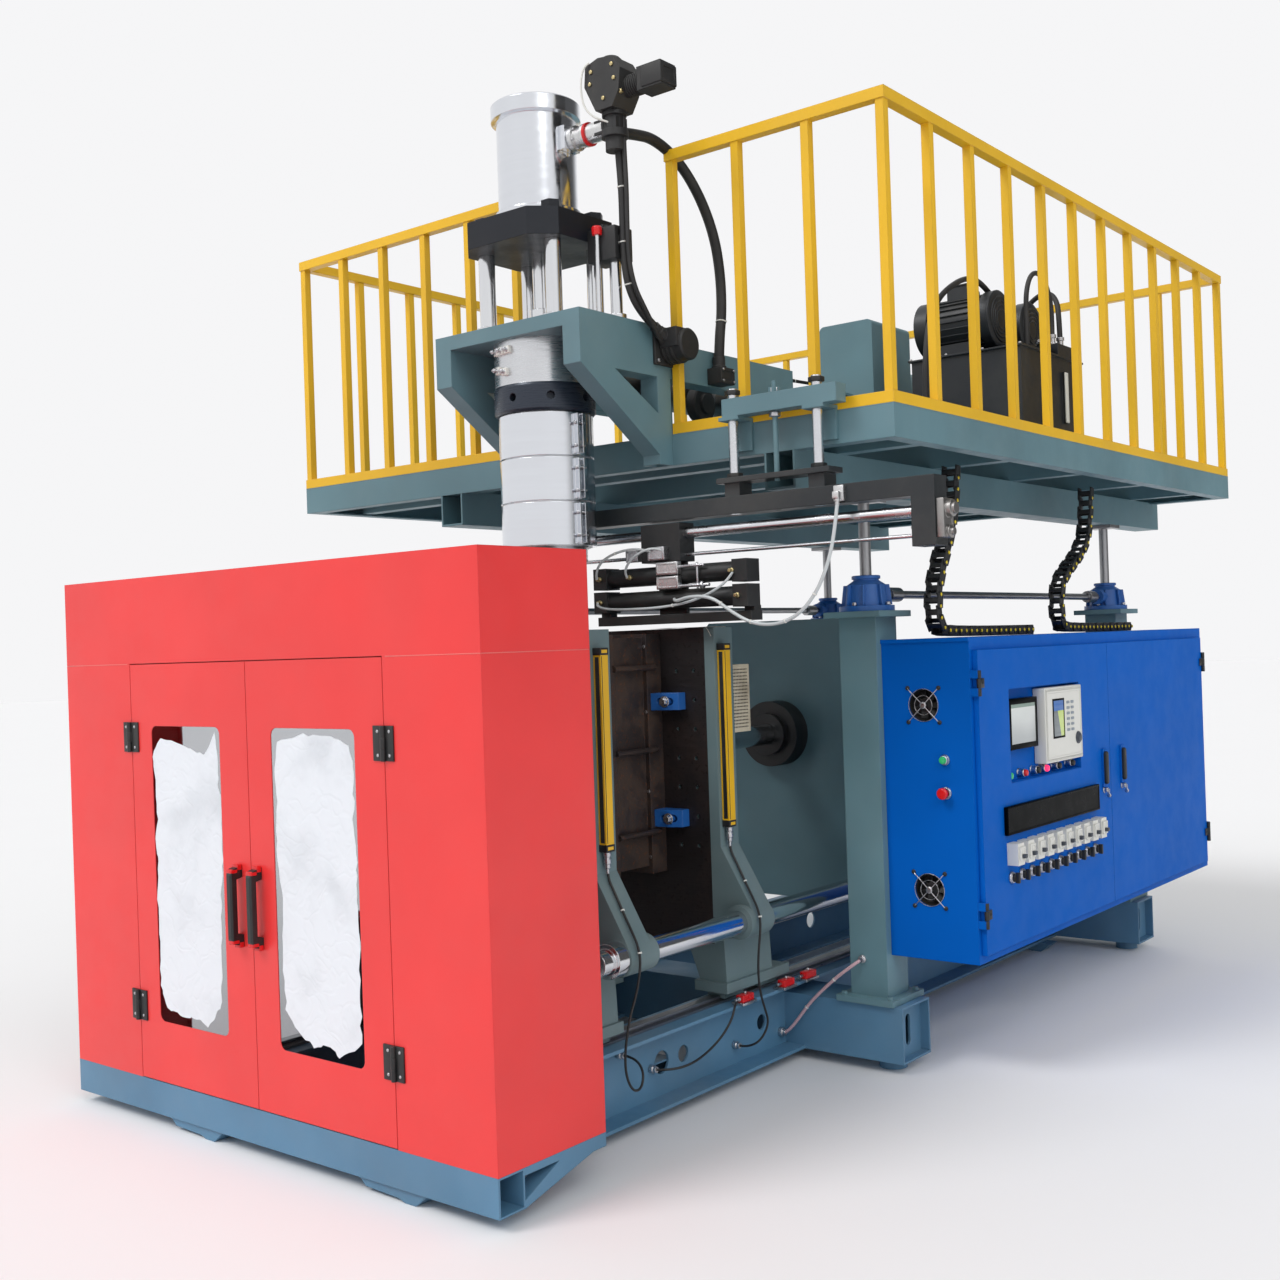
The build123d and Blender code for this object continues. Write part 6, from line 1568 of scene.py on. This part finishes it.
@dataclass
class HeadDetail(Detail):
    """Fittings and hoses of the accumulator head."""

    valve: Point = (350.0, -1975.0, 3450.0)
    head_y: float = -1985.0
    terminals: tuple[tuple[float, float], ...] = ((249, 2574), (259, 2574), (269, 2574), (252, 2508), (264, 2500))
    hoses: tuple[Hose, ...] = (
        Hose("pressure_hose", 38.0, 1115.0, (
            (350, -1952, 3284), (350, -1870, 3300), (350, -1760, 3312), (350, -1620, 3268), (350, -1500, 3170),
            (352, -1420, 3040), (354, -1392, 2900), (360, -1400, 2760), (364, -1426, 2660), (364, -1434, 2572),
        ), stiffness="stiff", ties=(0.86,)),
        Hose("valve_hose", 30.0, 750.0, (
            (352, -1962, 3330), (350, -1958, 3240), (354, -1950, 3100), (352, -1948, 2980), (350, -1946, 2860),
            (352, -1930, 2760), (358, -1876, 2684), (366, -1806, 2640),
        ), stiffness="stiff", ties=(0.25, 0.5, 0.72)),
        Hose("valve_cable", 16.0, 800.0, (
            (378, -1960, 3340), (380, -1966, 3240), (382, -1962, 3100), (378, -1960, 2980), (376, -1958, 2860),
            (380, -1936, 2760), (386, -1888, 2690), (384, -1838, 2634), (366, -1774, 2594))),
        Hose("valve_lead", 7.0, 265.0, (
            (296, -2034, 3512), (276, -2044, 3500), (264, -2046, 3440), (270, -2042, 3370), (300, -2030, 3330),
            (336, -2012, 3312), (350, -2004, 3306)), "pale_plastic"),
    )

    def parts(self) -> None:
        """Builds the pieces of the head."""
        self.fitting()
        self.rod()
        self.valve_parts()
        self.collar()
        self.hose_seats()

    def fitting(self) -> None:
        """Builds the bright flange and the red ring between the cylinder's port and the valve."""
        dress("port_sleeve", "fitting_steel", "platform", turned((167, -1975, 3300), (
            (0, 44), (18, 44), (20, 34), (52, 34), (54, 40), (70, 40), (72, 34), (150, 33.4)), X, 32),
            slot="bar_chrome")
        dress("port_ring", "signal_red", "platform",
              turned((233, -1975, 3300), ((0, 34), (0.5, 40.6), (10, 40.6), (10.5, 34)), X, 32))
        dress("port_bolts", "bolt_steel", "platform",
              *(bar((189, -1975 + side, 3300 + rise), 4.5, 8, X, 0.8) for side, rise in round_spots(6, 38, 20)))

    def rod(self) -> None:
        """Builds the red-capped guide rod, and the dark block with its ridged knob on a post beside it."""
        for name, finish, spot, steps, sides in (
            ("gauge_rod", "rod_chrome", (268, -1990, 2660), ((0, 20), (14, 20), (15, 9), (290, 9)), 20),
            ("gauge_cap", "signal_red", (268, -1990, 2945), ((0, 17), (16, 18), (26, 18), (30, 15), (31, 10)), 20),
            ("side_post", "rod_chrome", (300, -1935, 2660), ((0, 34), (16, 34), (18, 21), (200, 21)), 28),
        ):
            dress(name, finish, "platform", turned(spot, steps, Z, sides))
        parts = [block((214, -1980, 2858), (338, -1885, 2972), 5.0, (EAST, 12.0, 2.0)),
                 block((336, -1958, 2900), (352, -1918, 2940), 3.0), bar((250, -1932, 2978), 16, 14, Z, 1.5)]
        bpy.ops.object.mode_set(mode="EDIT")
        for rim, rise in ((12.0, 0.0), (0.4, -2.0)):
            bpy.ops.mesh.inset(thickness=rim * MM, depth=rise * MM)
        leave()
        dress("side_block", "cast_black", "platform", *parts)

    def valve_parts(self) -> None:
        """Builds the valve's coil fins, neck rings and screws."""
        x, y, z = self.valve
        coil = [bar((x + 78 + 9 * number, y, z - 36), 37.5, 5, X, 1.0, 28) for number in range(6)]
        dress("valve_coil", "cast_black", "platform", *coil,
              block((x + 150, y - 44, z - 70), (x + 236, y + 44, z - 2), 5.0, (EAST, 9.0, 3.0)),
              turned((x, y, z - 105), ((0, 42), (14, 42), (16, 33), (60, 33), (62, 46), (86, 46), (88, 33),
                                       (130, 33)), Z, 28, -1.0),
              turned((x - 6, y, z + 60), ((0, 40), (12, 38), (22, 28), (26, 12)), Z, 28))
        screws = [turned((x + side, y - 55, z + rise), ((0, 7), (4, 7), (5, 5.5)), Y, 12)
                  for side, rise in ((-50, 30), (40, 34), (-56, -10), (48, -14), (0, -70))]
        dress("valve_screws", "brass", "platform", *screws,
              turned((x + 66, y - 38, z - 60), ((0, 8), (10, 8), (11, 6)), Y, 6))

    def collar(self) -> None:
        """Builds the terminals on the head's collar, and the screws across the heater bands' seams."""
        stud = ((0, 9), (4, 9), (5, 5), (12, 5), (12.5, 8), (17, 8), (17.5, 4), (22, 4))
        spots = [(turn, (0, self.head_y, height)) for turn, height in self.terminals]
        dress("terminal_bases", "pale_plastic", "platform",
              *(swung(block((172, -13, -13), (186, 13, 13), 2.0), *spot) for spot in spots))
        dress("terminal_studs", "bolt_steel", "platform",
              *(swung(turned((184, 0, 0), stud, X, 12), *spot) for spot in spots))
        screws = []
        for low, seam, rise in product((1896, 2050, 2204), (-8, 172), (34, 112)):
            screws += [swung(part, seam, (0, self.head_y, low + rise)) for part in (
                bar((180, 0, 0), 4.0, 46, Y, 0.8, 10), bar((180, -20, 0), 7.0, 7, Y))]
        dress("band_screws", "bolt_steel", "platform", *screws)

    def hose_seats(self) -> None:
        """Builds the dark motor and the manifold on the bracket's side, where the hoses end."""
        turn = Vector((8, 70, -44)).to_track_quat("Z", "Y").to_matrix().to_4x4()
        neck = turned((0, 0, -12), ((0, 17), (2, 19), (24, 19), (26, 22), (60, 22)))
        dress("bracket_motor", "cast_black", "platform",
              block((340, -1796, 2520), (352, -1634, 2652), 3.0),
              turned((352, -1712, 2588), ((0, 56), (6, 62), (12, 62), (14, 56), (22, 56), (24, 62), (30, 62),
                                          (32, 56), (40, 56), (42, 62), (48, 62), (50, 56), (84, 56), (90, 50),
                                          (92, 20)), X, 36),
              block((354, -1776, 2576), (430, -1700, 2644), 4.0),
              *copies(neck, [Matrix.Translation(Vector((366, -1806, 2640)) * MM) @ turn]))
        dress("hose_manifold", "cast_black", "platform",
              block((340, -1478, 2486), (404, -1392, 2546), 4.0, (EAST, 10.0, 2.0)),
              turned((364, -1434, 2545), ((0, 27), (10, 27), (12, 23), (44, 23))))
        dress("bracket_bolts", "bolt_steel", "platform",
              *(bar((355, y, z), 7, 10, X) for y, z in product((-1782, -1648), (2534, 2640))),
              *(bar((406, y, z), 5, 8, X, 0.8) for y, z in product((-1468, -1402), (2496, 2536))))


@dataclass
class TakeoutDetail(Detail):
    """Valves, blocks, clear tubes and end fittings of the take-out."""

    line_y: float = -1742.0
    hoses: tuple[Hose, ...] = (
        Hose("air_tube_left", 9.0, 315.0, (
            (60, -1806, 1786), (64, -1818, 1800), (84, -1824, 1836), (130, -1826, 1864), (190, -1822, 1880),
            (250, -1816, 1884), (300, -1812, 1874), (330, -1808, 1862)), "clear_hose", "carriage", ties=(0.5,)),
        Hose("air_tube_middle", 9.0, 220.0, (
            (200, -1806, 1786), (202, -1822, 1800), (220, -1830, 1830), (258, -1832, 1858), (300, -1828, 1876),
            (340, -1818, 1880), (366, -1808, 1870)), "clear_hose", "carriage"),
        Hose("air_tube_low", 9.0, 630.0, (
            (60, -1806, 1702), (66, -1822, 1690), (120, -1828, 1676), (240, -1822, 1672), (360, -1816, 1674),
            (470, -1812, 1686), (560, -1812, 1712), (630, -1808, 1748), (648, -1798, 1780),
        ), "clear_hose", "carriage", ties=(0.55, 0.75)),
        Hose("air_tube_loop", 12.0, 955.0, (
            (400, -1798, 1700), (420, -1824, 1690), (500, -1842, 1706), (590, -1842, 1700), (660, -1838, 1650),
            (740, -1834, 1606), (830, -1832, 1596), (920, -1832, 1622), (990, -1830, 1690), (1036, -1828, 1780),
            (1060, -1820, 1880), (1066, -1808, 1974),
        ), "clear_hose", moves=("carriage", "takeout", (600, 0, 0), (1020, 0, 0)), ties=(0.3, 0.45, 0.6, 0.75)),
    )

    def parts(self) -> None:
        """Builds the pieces of the take-out."""
        y = self.line_y
        dress("air_valves", "bolt_steel", "carriage",
              block((300, y - 72, 1838), (372, y - 42, 1884), 3.0, (FRONT, 5.0, 1.0)),
              block((196, y - 66, 1838), (250, y - 30, 1878), 3.0, (FRONT, 5.0, 1.0)))
        dress("air_blocks", "fitting_steel", "carriage",
              *(block((330, y - 66, low), (424, y - 42, low + 44), 3.0, (FRONT, 5.0, 1.2)) for low in (1736, 1786)))
        dress("air_rods", "bolt_steel", "carriage",
              bar((470, y - 54, 1744), 6.0, 160, X, 1.0, 14), bar((520, y - 54, 1744), 14.0, 12, X),
              bar((470, y - 54, 1812), 5.0, 120, X, 1.0, 14), bar((500, y - 54, 1778), 4.0, 90, Z, 0.8, 12))
        dress("air_nozzles", "brass", "carriage",
              *(turned((x, y - 46, z), ((0, 9), (8, 9), (9, 6), (20, 6)), Y, 14)
                for x, z in ((60, 1786), (200, 1786), (60, 1702), (640, 1786), (660, 1702))))
        dress("beam_end_plate", "machined_plate", "takeout",
              block((1390, y - 34, 1842), (1416, y + 34, 1962), 4.0, (EAST, 8.0, 2.0)),
              turned((1412, y, 1930), ((0, 26), (20, 26), (22, 18), (30, 18)), X),
              turned((1412, y, 1860), ((0, 20), (12, 20), (14, 12), (22, 12)), X))
        dress("beam_screws", "bolt_steel", "takeout", *(
            bar((x, y + side, z), 7, 10, X) for x, z, side in product((-172, 1308), (1950, 1880), (-26, 26))))
        for name, z in (("rod_nuts_low", 2104), ("rod_caps", 2382)):
            dress(name, "black_metal", "takeout", *(bar((x, -1760, z), 27, 16, Z, 1.5) for x in (645, 975)))
        dress("screw_nuts", "bolt_steel", "platform",
              *(bar((813, -1760, z), 20, 16, Z, 1.5) for z in (2290, 2369)))
        dress("tube_clip", "fitting_steel", "takeout",
              block((1048, -1800, 1980), (1084, -1781.6, 2030), 1.5),
              block((1054, -1820, 1986), (1078, -1798, 2010), 3.0),
              turned((1066, -1808, 1987), ((0, 10), (8, 10), (9, 7.6), (18, 7.6)), Z, 16, -1.0))


@dataclass
class PlatformDetail(Detail):
    """What stands on the platform: jack ribs, tank fittings, motor leads and extruder wiring."""

    jacks: tuple[Point, ...] = ((785, 1155, 0), (785, -1155, 0), (-785, 1155, 0), (-785, -1155, 0))
    motors: tuple[float, float] = (150.0, 480.0)
    zones: tuple[float, ...] = (-1502.0, -1222.0, -942.0, -662.0, -382.0)
    hoses: tuple[Hose, ...] = (
        Hose("tank_hose_rear", 22.0, 784.0, (
            (845, 470, 2834), (845, 476, 2940), (842, 472, 3030), (838, 424, 3110), (835, 352, 3136),
            (833, 280, 3108), (831, 236, 3030), (830, 232, 2940), (828, 236, 2766)), stiffness="stiff"),
        Hose("tank_hose_front", 24.0, 929.0, (
            (845, 560, 2834), (843, 562, 2950), (820, 600, 3060), (740, 664, 3120), (640, 690, 3080),
            (560, 690, 2960), (500, 676, 2820), (470, 660, 2700), (466, 636, 2640)), stiffness="stiff"),
        Hose("pump_hose", 24.0, 1170.0, (
            (700, 150, 3030), (700, 60, 3068), (694, -60, 3064), (688, -190, 3010), (682, -300, 2940),
            (678, -380, 2840), (676, -420, 2700), (676, -436, 2520), (676, -440, 2286)), stiffness="stiff"),
        Hose("barrel_cable", 14.0, 1600.0, (
            (56, -1476, 2624), (90, -1464, 2640), (110, -1400, 2652), (108, -1240, 2648), (112, -1080, 2654),
            (108, -900, 2648), (112, -720, 2654), (108, -540, 2648), (112, -380, 2654), (106, -240, 2650),
            (100, -120, 2640), (96, 0, 2620), (92, 104, 2610)), ties=(0.2, 0.4, 0.6, 0.8)),
    )

    def parts(self) -> None:
        """Builds the pieces of the jacks and of the platform."""
        self.jack_parts()
        self.tank()
        self.extruder_wiring()

    def jack_parts(self) -> None:
        """Builds the ribs round each jack's bell, its flange screws and its neck ring."""
        ribs = []
        for turn in range(8):
            rib = block((70, -4, 1662), (92, 4, 1736), 2.0)
            pick(rib, lambda middle, normal: middle.x > 80 and middle.z > 1700)
            bpy.ops.transform.translate(value=(-9 * MM, 0.0, 0.0))
            leave()
            ribs.append(swung(rib, 45 * turn + 22.5))
        ribs.append(turned((0, 0, 1756), ((0, 47), (2, 52), (12, 52), (14, 47)), Z, 28))
        screws = [swung(bar((88, 0, 1666), 9, 12, Z, 1.2), 90 * turn) for turn in range(4)]
        dress("jack_ribs", "jack_blue", "frame", *row(join(*ribs), *self.jacks))
        dress("jack_screws_round", "bolt_steel", "frame", *row(join(*screws), *self.jacks))

    def tank(self) -> None:
        """Builds the tank's gauge, lid screws, filler cap and motor fittings."""
        dress("tank_gauge", "pale_plastic", "platform",
              block((911, 428, 2466), (917, 462, 2690), 2.5, (EAST, 6.0, 1.5)))
        dress("lid_screws", "bolt_steel", "platform",
              *(bar((x, y, 2763), 7, 8) for x, y in product((388, 560, 730, 900), (-4, 644))))
        port = ((0, 20), (12, 20), (14, 14), (34, 14), (36, 18), (50, 18))
        dress("tank_caps", "bolt_steel", "platform",
              turned((850, 360, 2812), ((0, 34), (10, 34), (12, 30), (22, 28), (24, 12), (30, 10))),
              turned((845, 470, 2822), port), turned((845, 560, 2822), port))
        cowls, boxes = [], []
        for y in self.motors:
            cowls.append(turned((736, y, 2910), ((0, 127), (8, 127), (14, 118), (15, 100), (16, 60), (17, 20)),
                                X, 40))
            cowls += [ring((752, y, 2910), radius, 3.2, X, 36) for radius in (44, 62, 80, 98)]
            boxes += [block((516, y - 50, 3076), (624, y + 50, 3084), 2.5, (TOP, 8.0, 1.5)),
                      turned((628, y, 3040), ((0, 15), (10, 15), (12, 11), (22, 11)), X, 16)]
        dress("motor_cowls", "unit_dark", "platform", *cowls)
        dress("motor_boxes", "black_metal", "platform", *boxes, slot="unit_dark")

    def extruder_wiring(self) -> None:
        """Builds the blowers beside the barrel and the heaters' plug boxes."""
        blower = ((0, 66), (6, 70), (40, 70), (46, 64), (48, 40), (60, 38), (62, 30))
        dress("barrel_blowers", "cast_black", "platform", *(
            part for y in self.zones for part in (
                turned((96, y, 2470), blower, X, 28), block((60, y - 28, 2500), (100, y + 28, 2566), 4.0),
                block((104, y - 22, 2285), (132, y + 22, 2412), 3.0))))
        dress("heater_plugs", "black_plastic", "platform",
              *(block((34, y - 22, 2610), (58, y + 22, 2636), 3.0, (EAST, 5.0, 1.5)) for y in self.zones))


@dataclass
class BaseDetail(Detail):
    """Sensors, cables and the conduit along the base, and the platen cables."""

    sensors: tuple[float, ...] = (-1640.0, -1380.0, -1232.0)
    gland: Profile = ((0, 14), (14, 14), (16, 10), (26, 10))
    hoses: tuple[Hose, ...] = (
        Hose("curtain_cable_rear", 8.0, 882.0, (
            (508, -1670, 846), (512, -1672, 822), (532, -1674, 792), (574, -1680, 722), (614, -1688, 662),
            (632, -1694, 636), (645, -1700, 600), (644, -1702, 556), (634, -1702, 490), (620, -1688, 410),
            (596, -1644, 336), (570, -1584, 270), (562, -1546, 206), (540, -1566, 146), (496, -1586, 120),
            (460, -1586, 120),
        ), moves=("frame", "clamp_rear", (0, 0, 240), (0, 0, 560)), ties=(0.18, 0.37)),
        Hose("curtain_cable_front", 8.0, 936.0, (
            (508, -2328, 846), (512, -2330, 822), (532, -2332, 792), (574, -2336, 722), (614, -2342, 662),
            (632, -2346, 636), (645, -2350, 600), (644, -2352, 556), (632, -2356, 490), (606, -2364, 410),
            (590, -2372, 310), (586, -2366, 230), (580, -2326, 172), (566, -2268, 164), (548, -2232, 206),
            (506, -2222, 240), (460, -2222, 240),
        ), moves=("frame", "clamp_front", (0, 0, 240), (0, 0, 560)), ties=(0.16, 0.35)),
        Hose("beam_cable", 8.0, 445.0, (
            (529, -1684, 312), (536, -1712, 302), (550, -1750, 264), (548, -1810, 216), (540, -1890, 178),
            (530, -1970, 158), (500, -2040, 154), (460, -2060, 154)), body="frame"),
        Hose("conduit", 12.0, 430.0, (
            (458, -1290, 98), (484, -1286, 118), (520, -1280, 166), (564, -1276, 222), (620, -1272, 276),
            (680, -1268, 328), (724, -1262, 362), (752, -1246, 384), (762, -1234, 392),
        ), "conduit_pink", "frame", "stiff", ties=(0.3, 0.6)),
    )

    def parts(self) -> None:
        """Builds the pieces of the base."""
        dress("limit_sensors", "signal_red", "frame",
              *(block((514, y - 34, 300), (544, y + 34, 324), 3.0, (EAST, 4.0, 1.0)) for y in self.sensors))
        dress("sensor_brackets", "bolt_steel", "frame",
              *(block((500, y - 42, 290), (550, y + 42, 300), 1.5) for y in self.sensors))
        dress("sensor_screws", "bolt_steel", "frame", *(
            part for y in self.sensors
            for part in (bar((529, y - 46, 312), 5, 26, Y, 0.8, 12), bar((529, y, 328), 6, 10, Z, 0.8))))
        dress("cable_glands", "bolt_steel", "frame",
              turned((529, -1672, 312), ((0, 8), (8, 8), (9, 6), (16, 6)), Y, 14),
              *(turned((436, y, z), self.gland, X, 16) for y, z in ((-1586, 120), (-2222, 240), (-2060, 154))),
              turned((436, -1290, 98), ((0, 17), (14, 17), (16, 11), (24, 11)), X, 16),
              turned((762, -1229, 392), ((0, 15), (8, 15), (10, 10), (16, 10)), Y, 16))


def main() -> None:
    """Builds the sub-assemblies in order."""
    logging.basicConfig(level=logging.INFO, format="%(message)s")
    noise.seed_set(NOISE_SEED)
    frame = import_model()
    Palette.fill()
    Palette.dress_nodes(frame["nodes"])
    Studio().build()
    for detail in (GuardDetail, ClampDetail, ChainDetail, CabinetDetail, HeadDetail, TakeoutDetail, PlatformDetail,
                   BaseDetail):
        detail().build()


if __name__ == "__main__":
    main()
